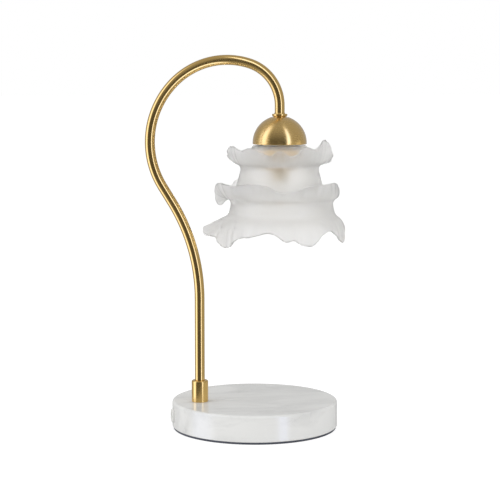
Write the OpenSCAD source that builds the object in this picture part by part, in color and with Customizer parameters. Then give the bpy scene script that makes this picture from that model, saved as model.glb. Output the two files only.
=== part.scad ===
// Table lamp: a round marble foot, a bent brass stem that hooks over, and a frosted
// glass shade in three ruffled tiers under a brass dome.
// Millimetres. The origin is the middle of the foot's underside and +Z is up. The stem
// stands on the -X side, and the shade hangs on the +X side.

/* [Foot] */
// Diameter of the marble disc
base_d = 160; // [140:2:220]
// Thickness of the marble disc
marble_t = 25; // [23:1:40]
// Radius of the marble's rounded edges
marble_edge_r = 2.5; // [1:0.5:5]
// Thickness of the foam pad under the marble
pad_t = 2; // [1:0.5:4]
// How far the pad stays inside the marble's edge
pad_inset = 1; // [0.5:0.5:6]
// Distance of the stem from the middle of the foot
stem_offset = 54; // [48:1:60]
// Depth of the wiring pocket in the marble's underside
pocket_depth = 17; // [16.5:0.5:18.5]
// Width of the wiring pocket
pocket_w = 28; // [26:1:40]

/* [Cord inlet] */
// Bore of the inlet bushing
inlet_bore_d = 6.2; // [5:0.1:7]
// Outer diameter of the bushing's shank
inlet_shank_d = 8.4; // [8.2:0.1:9.4]
// Diameter of the bushing's flange
inlet_flange_d = 13.4; // [12:0.2:16]
// How far the flange stands proud of the marble
inlet_proud = 1.8; // [1:0.1:3]

/* [Stem] */
// Outer diameter of the stem tube
tube_d = 9.5; // [9:0.1:12]
// Wall of the stem tube
tube_wall = 1; // [0.6:0.1:1.2]
// Length of the straight stretch over the foot, up to the first bend
upright_l = 99.8; // [70:0.1:150]
// Radius of the bend that leans the stem away from the shade
lean_r = 179; // [120:1:260]
// Angle of that bend
lean_deg = 31.3; // [20:0.1:38]
// Length of the leaning straight stretch
lean_l = 18; // [5:1:60]
// Radius of the crook's first bend
crook_r = 80; // [60:1:100]
// Angle of the crook's first bend
crook_deg = 75.5; // [60:0.5:90]
// Radius of the crook's middle bend
top_r = 72; // [55:1:90]
// Angle of the crook's middle bend
top_deg = 63.5; // [50:0.5:75]
// Radius of the last bend, which turns the stem down to the shade
drop_r = 42; // [34:1:60]

/* [Collar and threads] */
// Diameter of the collar at the stem's foot
collar_d = 16; // [15:0.5:26]
// Height of the collar
collar_h = 20.8; // [18:0.1:40]
// Radius of the collar's edges
collar_edge_r = 1.3; // [0.4:0.1:2]
// Depth to which the tube goes into the collar
tube_seat = 10; // [6:0.5:10]
// Outer diameter of the lamp thread
thread_d = 10; // [9.5:0.1:12]
// Bore of the threaded pieces
thread_bore_d = 7.4; // [6:0.1:7.6]
// Width of the nuts across their flats
nut_w = 14; // [13:0.5:17]
// Thickness of the nuts
nut_t = 3; // [2:0.5:4]
// Thickness of the split lock washers
lock_t = 1; // [0.6:0.1:1.5]
// Diameter of the big washer under the marble
washer_d = 22; // [19:0.5:22.5]
// Thickness of the big washer
washer_t = 1.5; // [1:0.1:2]

/* [Flange and dome] */
// Diameter of the flange over the dome
flange_d = 15; // [13.5:0.5:20]
// Thickness of the flange
flange_t = 2.8; // [2:0.1:5]
// Wall of the flange's neck round the tube
neck_wall = 0.3; // [0.3:0.05:2]
// Length of the flange's neck
neck_l = 1; // [0.5:0.5:12]
// Height of the groove between flange and dome
groove_h = 0.4; // [0.3:0.1:2]
// Diameter of the dome
dome_d = 52; // [49:0.5:60]
// Height of the dome
dome_h = 25.7; // [25:0.1:32]
// Wall of the dome
dome_wall = 1; // [0.6:0.1:1.5]
// Diameter of the flat on the dome's top
dome_flat_d = 17; // [16.6:0.2:20]

/* [Lampholder] */
// Outer diameter of the sleeve over its shoulder
sleeve_d = 26; // [25:0.2:27]
// Diameter of the sleeve's ring thread
ring_thread_d = 28; // [27.6:0.2:30]
// Bore of the sleeve
sleeve_bore_d = 23.6; // [23.2:0.1:24]
// Diameter of the sleeve's shoulder
shoulder_d = 38; // [34:1:46]
// Thickness of the shoulder
shoulder_t = 1.5; // [1:0.1:3]
// Length of the ring thread under the shoulder
ring_thread_l = 15; // [13.5:0.5:18]
// Pitch of the ring thread
ring_pitch = 2; // [1.5:0.5:3]
// Depth of the ring thread's grooves
ring_thread_depth = 0.6; // [0.3:0.1:0.8]
// Thickness of the sleeve's top
sleeve_top_t = 1.5; // [1:0.1:2]
// Thickness of the bracket's strip
bracket_t = 1; // [0.6:0.1:1.2]
// Diameter of the ceramic socket
socket_d = 22.6; // [21.6:0.2:23]
// Height of the ceramic socket
socket_h = 14; // [12:0.5:14.5]
// Depth of the socket's face inside the sleeve's mouth
socket_recess = 10; // [9:0.5:10.5]
// Distance between the two contact slots
pin_pitch = 9; // [8:0.5:10]
// Distance between the two socket screws
socket_screw_pitch = 15; // [14:0.5:15.5]

/* [Shade ring and gaskets] */
// Outer diameter of the shade ring
ring_d = 36; // [34:0.5:44]
// Height of the shade ring
ring_h = 6; // [4:0.5:7]
// Thickness of each gasket
gasket_t = 1.2; // [0.8:0.1:2]
// Number of notches round the shade ring
ring_notches = 24; // [12:1:36]

/* [Glass shade] */
// Wall of the glass
glass_t = 2.6; // [2:0.1:3.2]
// Thickness of the ruffles at their rims
ruffle_t = 2.2; // [1.6:0.1:2.8]
// Radius of the neck under the dome
neck_r = 27; // [25.5:0.5:29]
// Radius of the body where the top ruffle leaves it
upper_r = 36.5; // [35:0.5:38]
// Depth of the top ruffle's root under the glass's top
upper_drop = 18.6; // [17.6:0.2:20]
// Radius of the body's waist between the top and middle ruffles
waist_r = 40.5; // [39:0.5:42]
// Depth of the waist
waist_drop = 35; // [32:0.5:38]
// Radius of the body where the middle ruffle leaves it
middle_r = 46; // [44.5:0.5:48]
// Depth of the middle ruffle's root
middle_drop = 51.6; // [50:0.2:53]
// Radius of the body where the skirt leaves it
skirt_r = 49.5; // [48.5:0.5:52]
// Depth of the skirt's root
skirt_drop = 68.6; // [67:0.2:72]
// Length of an average petal of the ruffles, from the body to its rim
petal_l = 10; // [9:0.5:11]
// How far the body swells on one side, from the middle ruffle down
skirt_swell = 4.5; // [0:0.5:6]
// Turn of the shade about its own axis
shade_turn = 258; // [0:1:359]

/* [Bulb] */
// Diameter of the glass envelope
bulb_d = 18; // [15:0.5:19]
// Length of the glass envelope
bulb_l = 23.5; // [18:0.5:34]
// Wall of the envelope
bulb_wall = 0.8; // [0.5:0.1:1.2]
// Height of the round part of the bulb's base
bulb_cap_h = 4; // [3.5:0.5:6]
// Height of the flat part of the bulb's base
bulb_stem_h = 7; // [5:0.5:9]
// Diameter of the pins
pin_d = 1; // [0.8:0.1:1.2]
// Length of the pins
pin_l = 6.5; // [5:0.5:7.5]
// Width of the light stick inside the envelope
stick_w = 5; // [4:0.5:7]

/* [Wiring] */
// Diameter of one insulated core
core_d = 1.8; // [1.2:0.1:1.8]
// Outer diameter of the sleeving over the two cores
sleeving_d = 5.2; // [5:0.1:5.6]
// Distance between the poles of the terminal block
pole_pitch = 8; // [7:0.5:9]
// Length of the terminal block
block_l = 17; // [15:0.5:20]
// Height of the terminal block
block_h = 13; // [12:0.5:14]

/* [Hidden] */
$fn = 96;

// Clearances
thread_gap = 0.05;  // on the radius, between a lamp thread and what is screwed on it
seat_gap = 0.05;    // on the radius, between the tube and the bore that holds it
slip_gap = 0.2;     // on the radius, between pieces that only pass through each other
ring_gap = 0.08;    // on the radius, between the sleeve's thread and the shade ring
glass_gap = 0.6;    // on the radius, between the sleeve and the hole in the glass
face_gap = 0.3;     // between the bulb and the socket that it is pushed into

// Heights of the foot
marble_z = pad_t;
base_top_z = marble_z + marble_t;
pocket_top_z = marble_z + pocket_depth;

// Places along the pocket
pocket_end_x = -stem_offset - pocket_w / 2;
inlet_face_x = -(base_d / 2 - 0.4);
inlet_lip_t = 1.5;
inlet_lip_d = inlet_shank_d + 1.4;
inlet_z = pocket_top_z - inlet_lip_d / 2 - 0.1;
block_w = 2 * pole_pitch + 0.4;
tape_t = 0.8;
barrel_d = 4;
barrel_bore_d = 2.7;
barrel_l = block_l - 2;
barrel_z = pocket_top_z - tape_t - 5.5;
block_x = -stem_offset + pocket_w / 2 + 12 + block_l / 2;
pocket_far_x = block_x + block_l / 2 + 3;
terminal_screw_d = 2.6;
terminal_screw_x = barrel_l / 4;

// The nipple and its nut under the marble
nut_z = pocket_top_z - washer_t - lock_t - nut_t;
nipple_bottom_z = nut_z - 0.6;
collar_web_t = 1.3;
tube_foot_z = base_top_z + collar_h - tube_seat;
nipple_top_z = tube_foot_z - collar_web_t;

// The stem's centreline: where each bend ends, as [x, z, heading], with the heading
// measured from straight up towards +X
function bend_end(p, r, deg) =
  let (side = sign(deg))
  [
    p[0] + side * r * (cos(p[2]) - cos(p[2] + deg)),
    p[1] + side * r * (sin(p[2] + deg) - sin(p[2])),
    p[2] + deg
  ];
function straight_end(p, l) = [p[0] + l * sin(p[2]), p[1] + l * cos(p[2]), p[2]];

drop_deg = 180 + lean_deg - crook_deg - top_deg;
lean_z = base_top_z + upright_l;
lean_end = bend_end([-stem_offset, lean_z, 0], lean_r, -lean_deg);
crook_start = straight_end(lean_end, lean_l);
crook_end = bend_end(crook_start, crook_r, crook_deg);
top_end = bend_end(crook_end, top_r, top_deg);
drop_end = bend_end(top_end, drop_r, drop_deg);
head_x = drop_end[0];
drop_end_z = drop_end[1];

// Heights of the head, from the flange down
drop_spare = 6.7;  // of straight tube over the flange's neck
flange_top_z = drop_end_z - neck_l - drop_spare;
flange_z = flange_top_z - flange_t;
dome_top_z = flange_z - groove_h;
dome_z = dome_top_z - dome_h;
dome_lock_z = dome_top_z - dome_wall - lock_t;
dome_nut_z = dome_lock_z - nut_t;
sleeve_top_z = dome_nut_z;
bracket_z = sleeve_top_z - sleeve_top_t - bracket_t;
holder_nut_z = bracket_z - nut_t;
stub_z = holder_nut_z - 0.8;
tube_end_z = flange_top_z - 1.2;
shoulder_z = dome_z + 0.2;
glass_z = shoulder_z - gasket_t;
sleeve_z = shoulder_z - ring_thread_l;
ring_top_z = glass_z - glass_t - gasket_t;
socket_z = sleeve_z + socket_recess;
socket_top_z = socket_z + socket_h;
bulb_base_z = socket_z - face_gap - bulb_stem_h - bulb_cap_h;
envelope_seat = 2.5;
envelope_z = bulb_base_z + envelope_seat - bulb_l;
groove_d = thread_d + 1;

// Dimensions that follow the clearances
glass_hole_r = ring_thread_d / 2 + glass_gap;
gasket_hole_d = ring_thread_d + 2 * slip_gap;
gasket_d = ring_d - 1.5;
screw_d = 3;
screw_head_d = 5.4;
screw_head_t = 2;
chamber_w = 3;
chamber_l = 4.4;
chamber_h = 9;
chamber_floor = 2;
leaf_t = 0.4;
leaf_gap = pin_d + 2 * face_gap;
core_side = core_d / 2 + 0.1;

// A route is a list of moves: ["go", length] or ["turn", radius, angle, towards]
function go(l) = ["go", l];
function turn(r, deg, towards) = ["turn", r, deg, towards];
// Two equal and opposite bends that move a route sideways while it goes forward
function sidestep(side, forward, towards) =
  let (deg = 2 * atan(side / forward), r = forward / (2 * sin(deg)))
  [turn(r, deg, towards), turn(r, deg, towards + 180)];

// The stem's own route, from one height in the upright to another in the drop
function stem_route(from_z, to_z) = [
  go(lean_z - from_z),
  turn(lean_r, lean_deg, 180),
  go(lean_l),
  turn(crook_r, crook_deg, 0),
  turn(top_r, top_deg, 0),
  turn(drop_r, drop_deg, 0),
  go(drop_end_z - to_z)
];

// One core's route, from its barrel in the block to its contact in the socket
core_bend = 6;
core_entry = 2.2;
core_start_x = block_x - barrel_l / 2 + core_entry;
core_fan = 8;
core_go = core_start_x + stem_offset - core_entry - 2 * core_bend * sin(60) - core_bend - core_fan;
contact_top_z = socket_z + chamber_floor + chamber_h - 0.4;
function core_route(side) = concat(
  [go(core_entry), turn(core_bend, 60, 180), turn(core_bend, 60, 0), go(core_go / 2)],
  sidestep(pole_pitch / 2 - core_side, core_fan, -90 * side),
  [go(core_go / 2), turn(core_bend, 90, 0)],
  stem_route(barrel_z, stub_z),
  sidestep(pin_pitch / 2 - core_side, stub_z - socket_top_z - 0.2, 90 * side),
  [go(socket_top_z + 0.2 - contact_top_z)]
);

// Sweeps the flat shape in children() along a route that starts upwards. Every second
// stretch is a hair thicker ($swell) and laps over its neighbours, so that they fuse
module sweep(route, i = 0) {
  $swell = i % 2 * 0.02;
  lap = i % 2 * 0.1;
  end_lap = i + 1 < len(route) ? lap : 0;
  if (i < len(route)) {
    move = route[i];
    if (move[0] == "go") {
      translate([0, 0, -lap]) linear_extrude(move[1] + lap + end_lap) children();
      translate([0, 0, move[1]]) sweep(route, i + 1) children();
    } else {
      r = move[1];
      deg = move[2];
      lap_deg = lap / r * 180 / PI;
      rotate(move[3]) {
        translate([r, 0, 0]) rotate([90, 0, 0]) rotate(180 - deg - lap_deg)
          rotate_extrude(angle = deg + 2 * lap_deg) translate([r, 0]) rotate(180 - move[3]) children();
        translate([r * (1 - cos(deg)), 0, r * sin(deg)]) rotate([0, deg, 0]) rotate(-move[3])
          sweep(route, i + 1) children();
      }
    }
  }
}

// A section for sweep(): a round bar, or a tube where it has a bore
module swept_section(d, bore_d = 0) {
  difference() {
    circle(d = d + 2 * $swell);
    if (bore_d > 0) circle(d = bore_d - 2 * $swell);
  }
}

// A straight tube or washer
module pipe(d, bore_d, h) {
  difference() {
    cylinder(d = d, h = h);
    translate([0, 0, -1]) cylinder(d = bore_d, h = h + 2);
  }
}

// Half the section of a disc, with its outer corners rounded
module round_section(r, h, low_r, high_r) {
  square([r - max(low_r, high_r), h]);
  translate([0, low_r]) square([r, h - low_r - high_r]);
  square([r - low_r, h / 2]);
  translate([0, h / 2]) square([r - high_r, h / 2]);
  translate([r - low_r, low_r]) circle(low_r);
  translate([r - high_r, h - high_r]) circle(high_r);
}

// A hexagon nut on the lamp thread
module nut() {
  difference() {
    cylinder(d = nut_w / cos(30), h = nut_t, $fn = 6);
    translate([0, 0, -1]) cylinder(d = thread_d + 2 * thread_gap, h = nut_t + 2);
  }
}

// A split lock washer
module lock_washer() {
  difference() {
    pipe(nut_w + 1, thread_d + 2 * slip_gap, lock_t);
    translate([0, -0.6, -1]) cube([nut_w, 1.2, lock_t + 2]);
  }
}

// A slot with round ends along X
module slot(x0, x1, w, h) {
  translate([x0 + w / 2, 0, 0]) cylinder(d = w, h = h);
  translate([x1 - w / 2, 0, 0]) cylinder(d = w, h = h);
  translate([x0 + w / 2, -w / 2, 0]) cube([x1 - x0 - w, w, h]);
}

// A pan-head screw that points up, with the underside of its head at z = 0
module pan_screw(d, l) {
  translate([0, 0, -screw_head_t]) difference() {
    cylinder(d = screw_head_d, h = screw_head_t);
    translate([-screw_head_d, -0.4, -1]) cube([2 * screw_head_d, 0.8, 1.8]);
  }
  cylinder(d = d, h = l);
}

module at_stem(z) { translate([-stem_offset, 0, z]) children(); }
module at_head(z) { translate([head_x, 0, z]) children(); }

// ---- Foot ----

module marble_base() {
  color([0.9, 0.9, 0.89]) difference() {
    translate([0, 0, marble_z]) rotate_extrude() intersection() {
      round_section(base_d / 2, marble_t, 1, marble_edge_r);
      square([base_d, marble_t]);
    }
    at_stem(0) cylinder(d = thread_d + 2 * slip_gap, h = base_top_z + 1);
    translate([0, 0, marble_z - 1]) slot(pocket_end_x, pocket_far_x, pocket_w, pocket_depth + 1);
    translate([-base_d, 0, inlet_z]) rotate([0, 90, 0])
      cylinder(d = inlet_shank_d + 2 * slip_gap, h = base_d - stem_offset);
    translate([-base_d, 0, inlet_z]) rotate([0, 90, 0])
      cylinder(d = inlet_flange_d + 2 * slip_gap, h = base_d + inlet_face_x);
  }
}

module base_pad() {
  color([0.3, 0.31, 0.35]) cylinder(r = base_d / 2 - pad_inset, h = pad_t);
}

// The bushing's lip snaps in behind the marble, inside the pocket
module cord_bushing() {
  lip_x = pocket_end_x + (pocket_w - sqrt(pocket_w ^ 2 - inlet_lip_d ^ 2)) / 2;
  flange_t = base_d / 2 + inlet_face_x + inlet_proud;
  color([0.9, 0.9, 0.88]) translate([inlet_face_x, 0, inlet_z]) rotate([0, 90, 0]) difference() {
    union() {
      translate([0, 0, -flange_t]) rotate_extrude() intersection() {
        round_section(inlet_flange_d / 2, flange_t + 1, 0.6, 0.1);
        square([inlet_flange_d, flange_t]);
      }
      cylinder(d = inlet_shank_d, h = lip_x - inlet_face_x + inlet_lip_t);
      translate([0, 0, lip_x - inlet_face_x]) cylinder(d = inlet_lip_d, h = inlet_lip_t);
    }
    translate([0, 0, -flange_t - 1]) cylinder(d = inlet_bore_d, h = base_d);
  }
}

module base_washer() {
  color([0.75, 0.76, 0.78]) at_stem(pocket_top_z - washer_t)
    pipe(washer_d, thread_d + 2 * slip_gap, washer_t);
}

module base_lock_washer() {
  color([0.7, 0.71, 0.73]) at_stem(pocket_top_z - washer_t - lock_t) lock_washer();
}

module base_nut() {
  color([0.78, 0.72, 0.5]) at_stem(nut_z) nut();
}

module base_nipple() {
  color([0.75, 0.68, 0.45]) at_stem(nipple_bottom_z)
    pipe(thread_d, thread_bore_d, nipple_top_z - nipple_bottom_z);
}

// Keeps the sleeving off the nipple's sharp lower edge
module nipple_bush() {
  lip_t = 0.8;
  color([0.2, 0.2, 0.2]) at_stem(nipple_bottom_z - lip_t) {
    pipe(thread_d, thread_bore_d - 1.6, lip_t);
    pipe(thread_bore_d - 2 * seat_gap, thread_bore_d - 1.6, lip_t + 5);
  }
}

module terminal_block() {
  body_h = 9;
  color([0.93, 0.93, 0.9]) difference() {
    translate([block_x, 0, pocket_top_z - tape_t]) {
      translate([-block_l / 2, -block_w / 2, -body_h]) cube([block_l, block_w, body_h]);
      for (side = [-1, 1], end = [-1, 1])
        translate([end * terminal_screw_x, side * pole_pitch / 2, -block_h])
          cylinder(d = barrel_d + 2.4, h = block_h - body_h + 1);
    }
    for (side = [-1, 1]) translate([block_x, side * pole_pitch / 2, barrel_z]) {
      translate([-block_l, 0, 0]) rotate([0, 90, 0])
        cylinder(d = barrel_d + 2 * thread_gap, h = 2 * block_l);
      for (end = [-1, 1]) translate([end * terminal_screw_x, 0, -block_h])
        cylinder(d = terminal_screw_d + 1, h = block_h);
    }
  }
}

module terminal_barrels() {
  color([0.85, 0.7, 0.35]) for (side = [-1, 1])
    translate([block_x, side * pole_pitch / 2, barrel_z]) difference() {
      translate([-barrel_l / 2, 0, 0]) rotate([0, 90, 0]) pipe(barrel_d, barrel_bore_d, barrel_l);
      for (end = [-1, 1]) translate([end * terminal_screw_x, 0, -barrel_d])
        cylinder(d = terminal_screw_d + 2 * thread_gap, h = barrel_d);
    }
}

module terminal_screws() {
  head_z = pocket_top_z - tape_t - block_h + 1.5;
  color([0.8, 0.8, 0.82]) for (side = [-1, 1], end = [-1, 1])
    translate([block_x + end * terminal_screw_x, side * pole_pitch / 2, head_z]) difference() {
      cylinder(d = terminal_screw_d, h = barrel_z - barrel_bore_d / 4 - head_z);
      translate([-2, -0.25, -1]) cube([4, 0.5, 1.7]);
    }
}

module terminal_tape() {
  color([0.6, 0.6, 0.6]) translate([block_x, 0, pocket_top_z - tape_t / 2])
    cube([block_l - 1, block_w - 1, tape_t], center = true);
}

// ---- Stem ----

module stem_collar() {
  color([0.72, 0.57, 0.28]) at_stem(base_top_z) difference() {
    rotate_extrude() intersection() {
      round_section(collar_d / 2, collar_h, 0.4, collar_edge_r);
      square([collar_d, collar_h]);
    }
    translate([0, 0, -1])
      cylinder(d = thread_d + 2 * thread_gap, h = nipple_top_z - base_top_z + 1);
    translate([0, 0, -1]) cylinder(d = tube_d - 2 * tube_wall, h = collar_h);
    translate([0, 0, collar_h - tube_seat])
      cylinder(d = tube_d + 2 * seat_gap, h = tube_seat + 1);
  }
}

module stem_tube() {
  color([0.72, 0.57, 0.28]) at_stem(tube_foot_z)
    sweep(stem_route(tube_foot_z, tube_end_z)) swept_section(tube_d, tube_d - 2 * tube_wall);
}

module lead_sleeving() {
  start_z = nipple_bottom_z + 1;
  color([0.95, 0.95, 0.93]) at_stem(start_z)
    sweep(stem_route(start_z, stub_z + 1)) swept_section(sleeving_d, sleeving_d - 1);
}

module core(side) {
  translate([core_start_x, side * pole_pitch / 2, barrel_z]) rotate([0, -90, 0])
    sweep(core_route(side)) swept_section(core_d);
}

module live_core() { color([0.45, 0.27, 0.14]) core(-1); }
module neutral_core() { color([0.2, 0.4, 0.75]) core(1); }

// ---- Head ----

// The flange is brazed on the tube's end, and its threaded stub carries the head
module stem_flange() {
  color([0.72, 0.57, 0.28]) at_head(0) difference() {
    union() {
      translate([0, 0, flange_top_z]) cylinder(d = tube_d + 2 * neck_wall, h = neck_l);
      translate([0, 0, flange_z]) rotate_extrude() intersection() {
        round_section(flange_d / 2, flange_t, 0.5, 0.5);
        square([flange_d, flange_t]);
      }
      translate([0, 0, dome_top_z]) cylinder(d = groove_d, h = groove_h + 1);
      translate([0, 0, stub_z]) cylinder(d = thread_d, h = flange_z - stub_z + 1);
    }
    translate([0, 0, stub_z - 1]) cylinder(d = thread_bore_d, h = flange_top_z - stub_z + 2);
    translate([0, 0, tube_end_z]) cylinder(d = tube_d + 2 * seat_gap, h = neck_l + 3);
  }
}

// Half the outline of the dome, filled in to the axis
module dome_section(shrink) {
  r = dome_d / 2;
  rise = sqrt(r ^ 2 - (dome_flat_d / 2) ^ 2);
  intersection() {
    union() {
      translate([0, dome_h - rise]) circle(r - shrink);
      square([r - shrink, dome_h - rise]);
    }
    square([r, dome_h - shrink]);
  }
}

module dome_cap() {
  color([0.72, 0.57, 0.28]) at_head(dome_z) difference() {
    rotate_extrude() dome_section(0);
    rotate_extrude() dome_section(dome_wall);
    translate([0, 0, -1]) cylinder(d = dome_d - 2 * dome_wall, h = 1.1);
    cylinder(d = thread_d + 2 * slip_gap, h = dome_h + 1);
  }
}

module dome_lock_washer() {
  color([0.7, 0.71, 0.73]) at_head(dome_lock_z) lock_washer();
}

module dome_nut() {
  color([0.78, 0.72, 0.5]) at_head(dome_nut_z) nut();
}

// The sleeve's shoulder takes the glass, and its thread takes the shade ring
module holder_sleeve() {
  color([0.72, 0.57, 0.28]) at_head(0) difference() {
    union() {
      translate([0, 0, shoulder_z]) cylinder(d = sleeve_d, h = sleeve_top_z - shoulder_z);
      translate([0, 0, shoulder_z]) cylinder(d = shoulder_d, h = shoulder_t);
      translate([0, 0, sleeve_z]) cylinder(d = ring_thread_d, h = ring_thread_l + 0.5);
    }
    translate([0, 0, sleeve_z - 1])
      cylinder(d = sleeve_bore_d, h = sleeve_top_z - sleeve_top_t - sleeve_z + 1);
    cylinder(d = thread_d + 2 * thread_gap, h = sleeve_top_z + 1);
    for (z = [sleeve_z + ring_pitch : ring_pitch : shoulder_z - ring_pitch])
      translate([0, 0, z]) thread_groove();
  }
}

// One turn of the sleeve's thread, drawn as a ring-shaped groove
module thread_groove() {
  r = ring_thread_d / 2;
  rotate_extrude() polygon([
    [r + 0.1, ring_pitch * 0.3], [r - ring_thread_depth, 0], [r + 0.1, -ring_pitch * 0.3]
  ]);
}

// A strip under the sleeve's top whose two legs hold the socket
module holder_bracket() {
  leg_x = sleeve_bore_d / 2 - 1.6;
  foot_in = socket_screw_pitch / 2 - 2.4;
  strip_w = 6;
  color([0.75, 0.76, 0.78]) at_head(0) difference() {
    union() {
      translate([0, 0, bracket_z]) cylinder(d = nut_w + 1, h = bracket_t);
      translate([-leg_x, -strip_w / 2, bracket_z]) cube([2 * leg_x, strip_w, bracket_t]);
      for (side = [0, 180]) rotate(side) {
        translate([leg_x - bracket_t, -strip_w / 2, socket_top_z])
          cube([bracket_t, strip_w, bracket_z - socket_top_z + bracket_t]);
        translate([foot_in, -strip_w / 2, socket_top_z])
          cube([leg_x - foot_in, strip_w, bracket_t]);
      }
    }
    cylinder(d = thread_d + 2 * slip_gap, h = bracket_z + 5);
    for (side = [-1, 1]) translate([side * socket_screw_pitch / 2, 0, socket_top_z - 1])
      cylinder(d = screw_d + 2 * thread_gap, h = bracket_t + 2);
  }
}

module holder_nut() {
  color([0.78, 0.72, 0.5]) at_head(holder_nut_z) nut();
}

module lamp_socket() {
  color([0.94, 0.93, 0.9]) at_head(socket_z) difference() {
    cylinder(d = socket_d, h = socket_h);
    for (side = [-1, 1]) {
      translate([0, side * pin_pitch / 2, 0]) {
        translate([-chamber_l / 2, -chamber_w / 2, chamber_floor])
          cube([chamber_l, chamber_w, chamber_h]);
        translate([0, 0, -1]) cylinder(d = pin_d + 1.2, h = chamber_floor + 2);
        translate([0, 0, chamber_floor + chamber_h - 1])
          cylinder(d = core_d + 0.6, h = socket_h);
      }
      translate([side * socket_screw_pitch / 2, 0, -1]) {
        cylinder(d = screw_d + 0.4, h = socket_h + 2);
        cylinder(d = screw_head_d + 0.6, h = screw_head_t + 2);
      }
    }
  }
}

// Two spring leaves and their bridge on each side
module socket_contacts() {
  leaf_h = chamber_h - 0.4;
  color([0.85, 0.7, 0.35]) at_head(socket_z + chamber_floor) for (side = [-1, 1])
    translate([0, side * pin_pitch / 2, 0]) {
      for (leaf = [-1, 1])
        translate([leaf * (leaf_gap + leaf_t) / 2, 0, leaf_h / 2])
          cube([leaf_t, chamber_w - 0.6, leaf_h], center = true);
      translate([0, 0, leaf_h - leaf_t / 2])
        cube([leaf_gap + 2 * leaf_t, chamber_w - 0.6, leaf_t], center = true);
    }
}

module socket_screws() {
  seat_z = socket_z + screw_head_t + 1;
  color([0.8, 0.8, 0.82]) at_head(seat_z) for (side = [-1, 1])
    translate([side * socket_screw_pitch / 2, 0, 0])
      pan_screw(screw_d, socket_top_z + bracket_t + 1 - seat_z);
}

// ---- Glass shade ----

// Rims of the ruffles, as petals and dips: [angle, reach beyond the root, height over it],
// with reach and height as shares of a petal
upper_rim = [
  [-175, 1.1, 0.9], [-155, 0.9, 0.4], [-137, 1.2, 1.2], [-118, 0.8, 0.5], [-104, 1.15, 0.5],
  [-90, 1.3, 1.1], [-77, 1.2, 1.7], [-64, 1.05, 1.65], [-52, 1, 1.35], [-38, 1.05, 1.65],
  [-24, 1, 1.3], [-11, 0.95, 0.95], [-5, 1.05, 1.35], [3, 1.05, 1.35], [11, 0.95, 0.95],
  [19, 1, 1.05], [30, 1.05, 1.75], [45, 1, 1.5], [56, 0.95, 1.95], [68, 0.95, 2.35],
  [80, 1.2, 1.7], [91, 1.35, 0.85], [101, 1.3, 0.3], [114, 0.9, 0.2], [135, 1.15, 1.1],
  [158, 0.9, 0.5]
];
middle_rim = [
  [-165, 1.25, 1.3], [-148, 0.95, 1.2], [-134, 1.2, 1.55], [-122, 1.3, 0.4], [-112, 1.45, -0.65],
  [-101, 1.55, -0.4], [-90, 1.55, 0.6], [-78, 1.5, 1.45], [-66, 1.3, 1.55], [-50, 1.15, 1.4],
  [-32, 1.2, 1.6], [-14, 1.15, 1.5], [0, 1.1, 0.95], [15, 1.1, 1.1], [31, 1.05, 1.55],
  [48, 0.9, 1.55], [66, 0.6, 1.6], [80, 0.5, 1.35], [92, 0.5, 0.8], [106, 0.5, 0.1],
  [128, 0.8, 0.7], [150, 1.15, 1.3], [173, 1, 0.6]
];
skirt_rim = [
  [-176, 1.35, -1.5], [-156, 0.95, -2.3], [-136, 1.55, -1.5], [-119, 1.4, -1.95],
  [-105, 2, -1.3], [-94, 2.35, -1.2], [-84, 2.2, -1.65], [-75, 1.35, -1.8], [-69, 1.25, -2.3],
  [-61, 1.1, -2.65], [-52, 0.95, -2.45], [-43, 1, -1.75], [-27, 1.15, -1.45], [-8, 1.15, -1.05],
  [5, 1.15, -1.85], [12, 1.1, -1.7], [20, 1.15, -2.15], [30, 1.15, -2.2], [40, 1.05, -1.3],
  [48, 1.15, -0.95], [59, 1.05, -1.65], [67, 0.95, -2.15], [77, 0.85, -2.25], [86, 0.75, -1.65],
  [106, 1.05, -1.15], [125, 0.9, -1.35], [145, 1.4, -1.2], [164, 1, -2.25]
];

// A closed smooth curve through knots, read at an angle. Component 1 is reach, 2 is height
function wrapped(knots) =
  let (n = len(knots), full = [360, 0, 0])
  concat([knots[n - 1] - full], knots, [knots[0] + full, knots[1] + full]);
function knot_slope(k, i, c) = (k[i + 1][c] - k[i - 1][c]) / (k[i + 1][0] - k[i - 1][0]);
function between(k, i, a, c) =
  let (
    span = k[i + 1][0] - k[i][0], t = (a - k[i][0]) / span,
    m0 = knot_slope(k, i, c) * span, m1 = knot_slope(k, i + 1, c) * span
  )
  (2 * t ^ 3 - 3 * t ^ 2 + 1) * k[i][c] + (t ^ 3 - 2 * t ^ 2 + t) * m0
  + (3 * t ^ 2 - 2 * t ^ 3) * k[i + 1][c] + (t ^ 3 - t ^ 2) * m1;
function rim_at(knots, a) =
  let (
    k = wrapped(knots), turned = a < knots[0][0] ? a + 360 : a,
    i = max([for (j = [1 : len(k) - 3]) if (k[j][0] <= turned) j])
  )
  petal_l * [between(k, i, turned, 1), between(k, i, turned, 2)];

// A ruffle's middle line curves from its root to its rim, first along the lead, which is
// never longer than the petal
function lead_for(lead, rim) = lead * min(1, norm(rim) / norm(lead));
function ruffle_point(lead, rim, t) = 2 * t * (1 - t) * lead + t ^ 2 * rim;
function ruffle_normal(lead, rim, t) =
  let (d = (1 - 2 * t) * lead + t * rim) [-d[1], d[0]] / norm(d);
function ruffle_side(root, lead, rim, ts, offset) = [
  for (t = ts) root + ruffle_point(lead, rim, t) + offset * ruffle_normal(lead, rim, t)
];
function ruffle_tip(root, lead, rim) =
  root + rim + (rim - lead) / norm(rim - lead) * ruffle_t * 0.45;

upper_root = [upper_r, -upper_drop];
middle_root = [middle_r, -middle_drop];
skirt_root = [skirt_r, -skirt_drop];
upper_lead = petal_l * [0.8, 0.05];
middle_lead = petal_l * [0.85, 0.1];
skirt_lead = petal_l * [0.8, -0.35];
waist = [waist_r, -waist_drop];

// The body's swell at an angle, strongest a quarter turn from the front
function swell_at(a) = skirt_swell * max(0, sin(a)) ^ 2;

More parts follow.
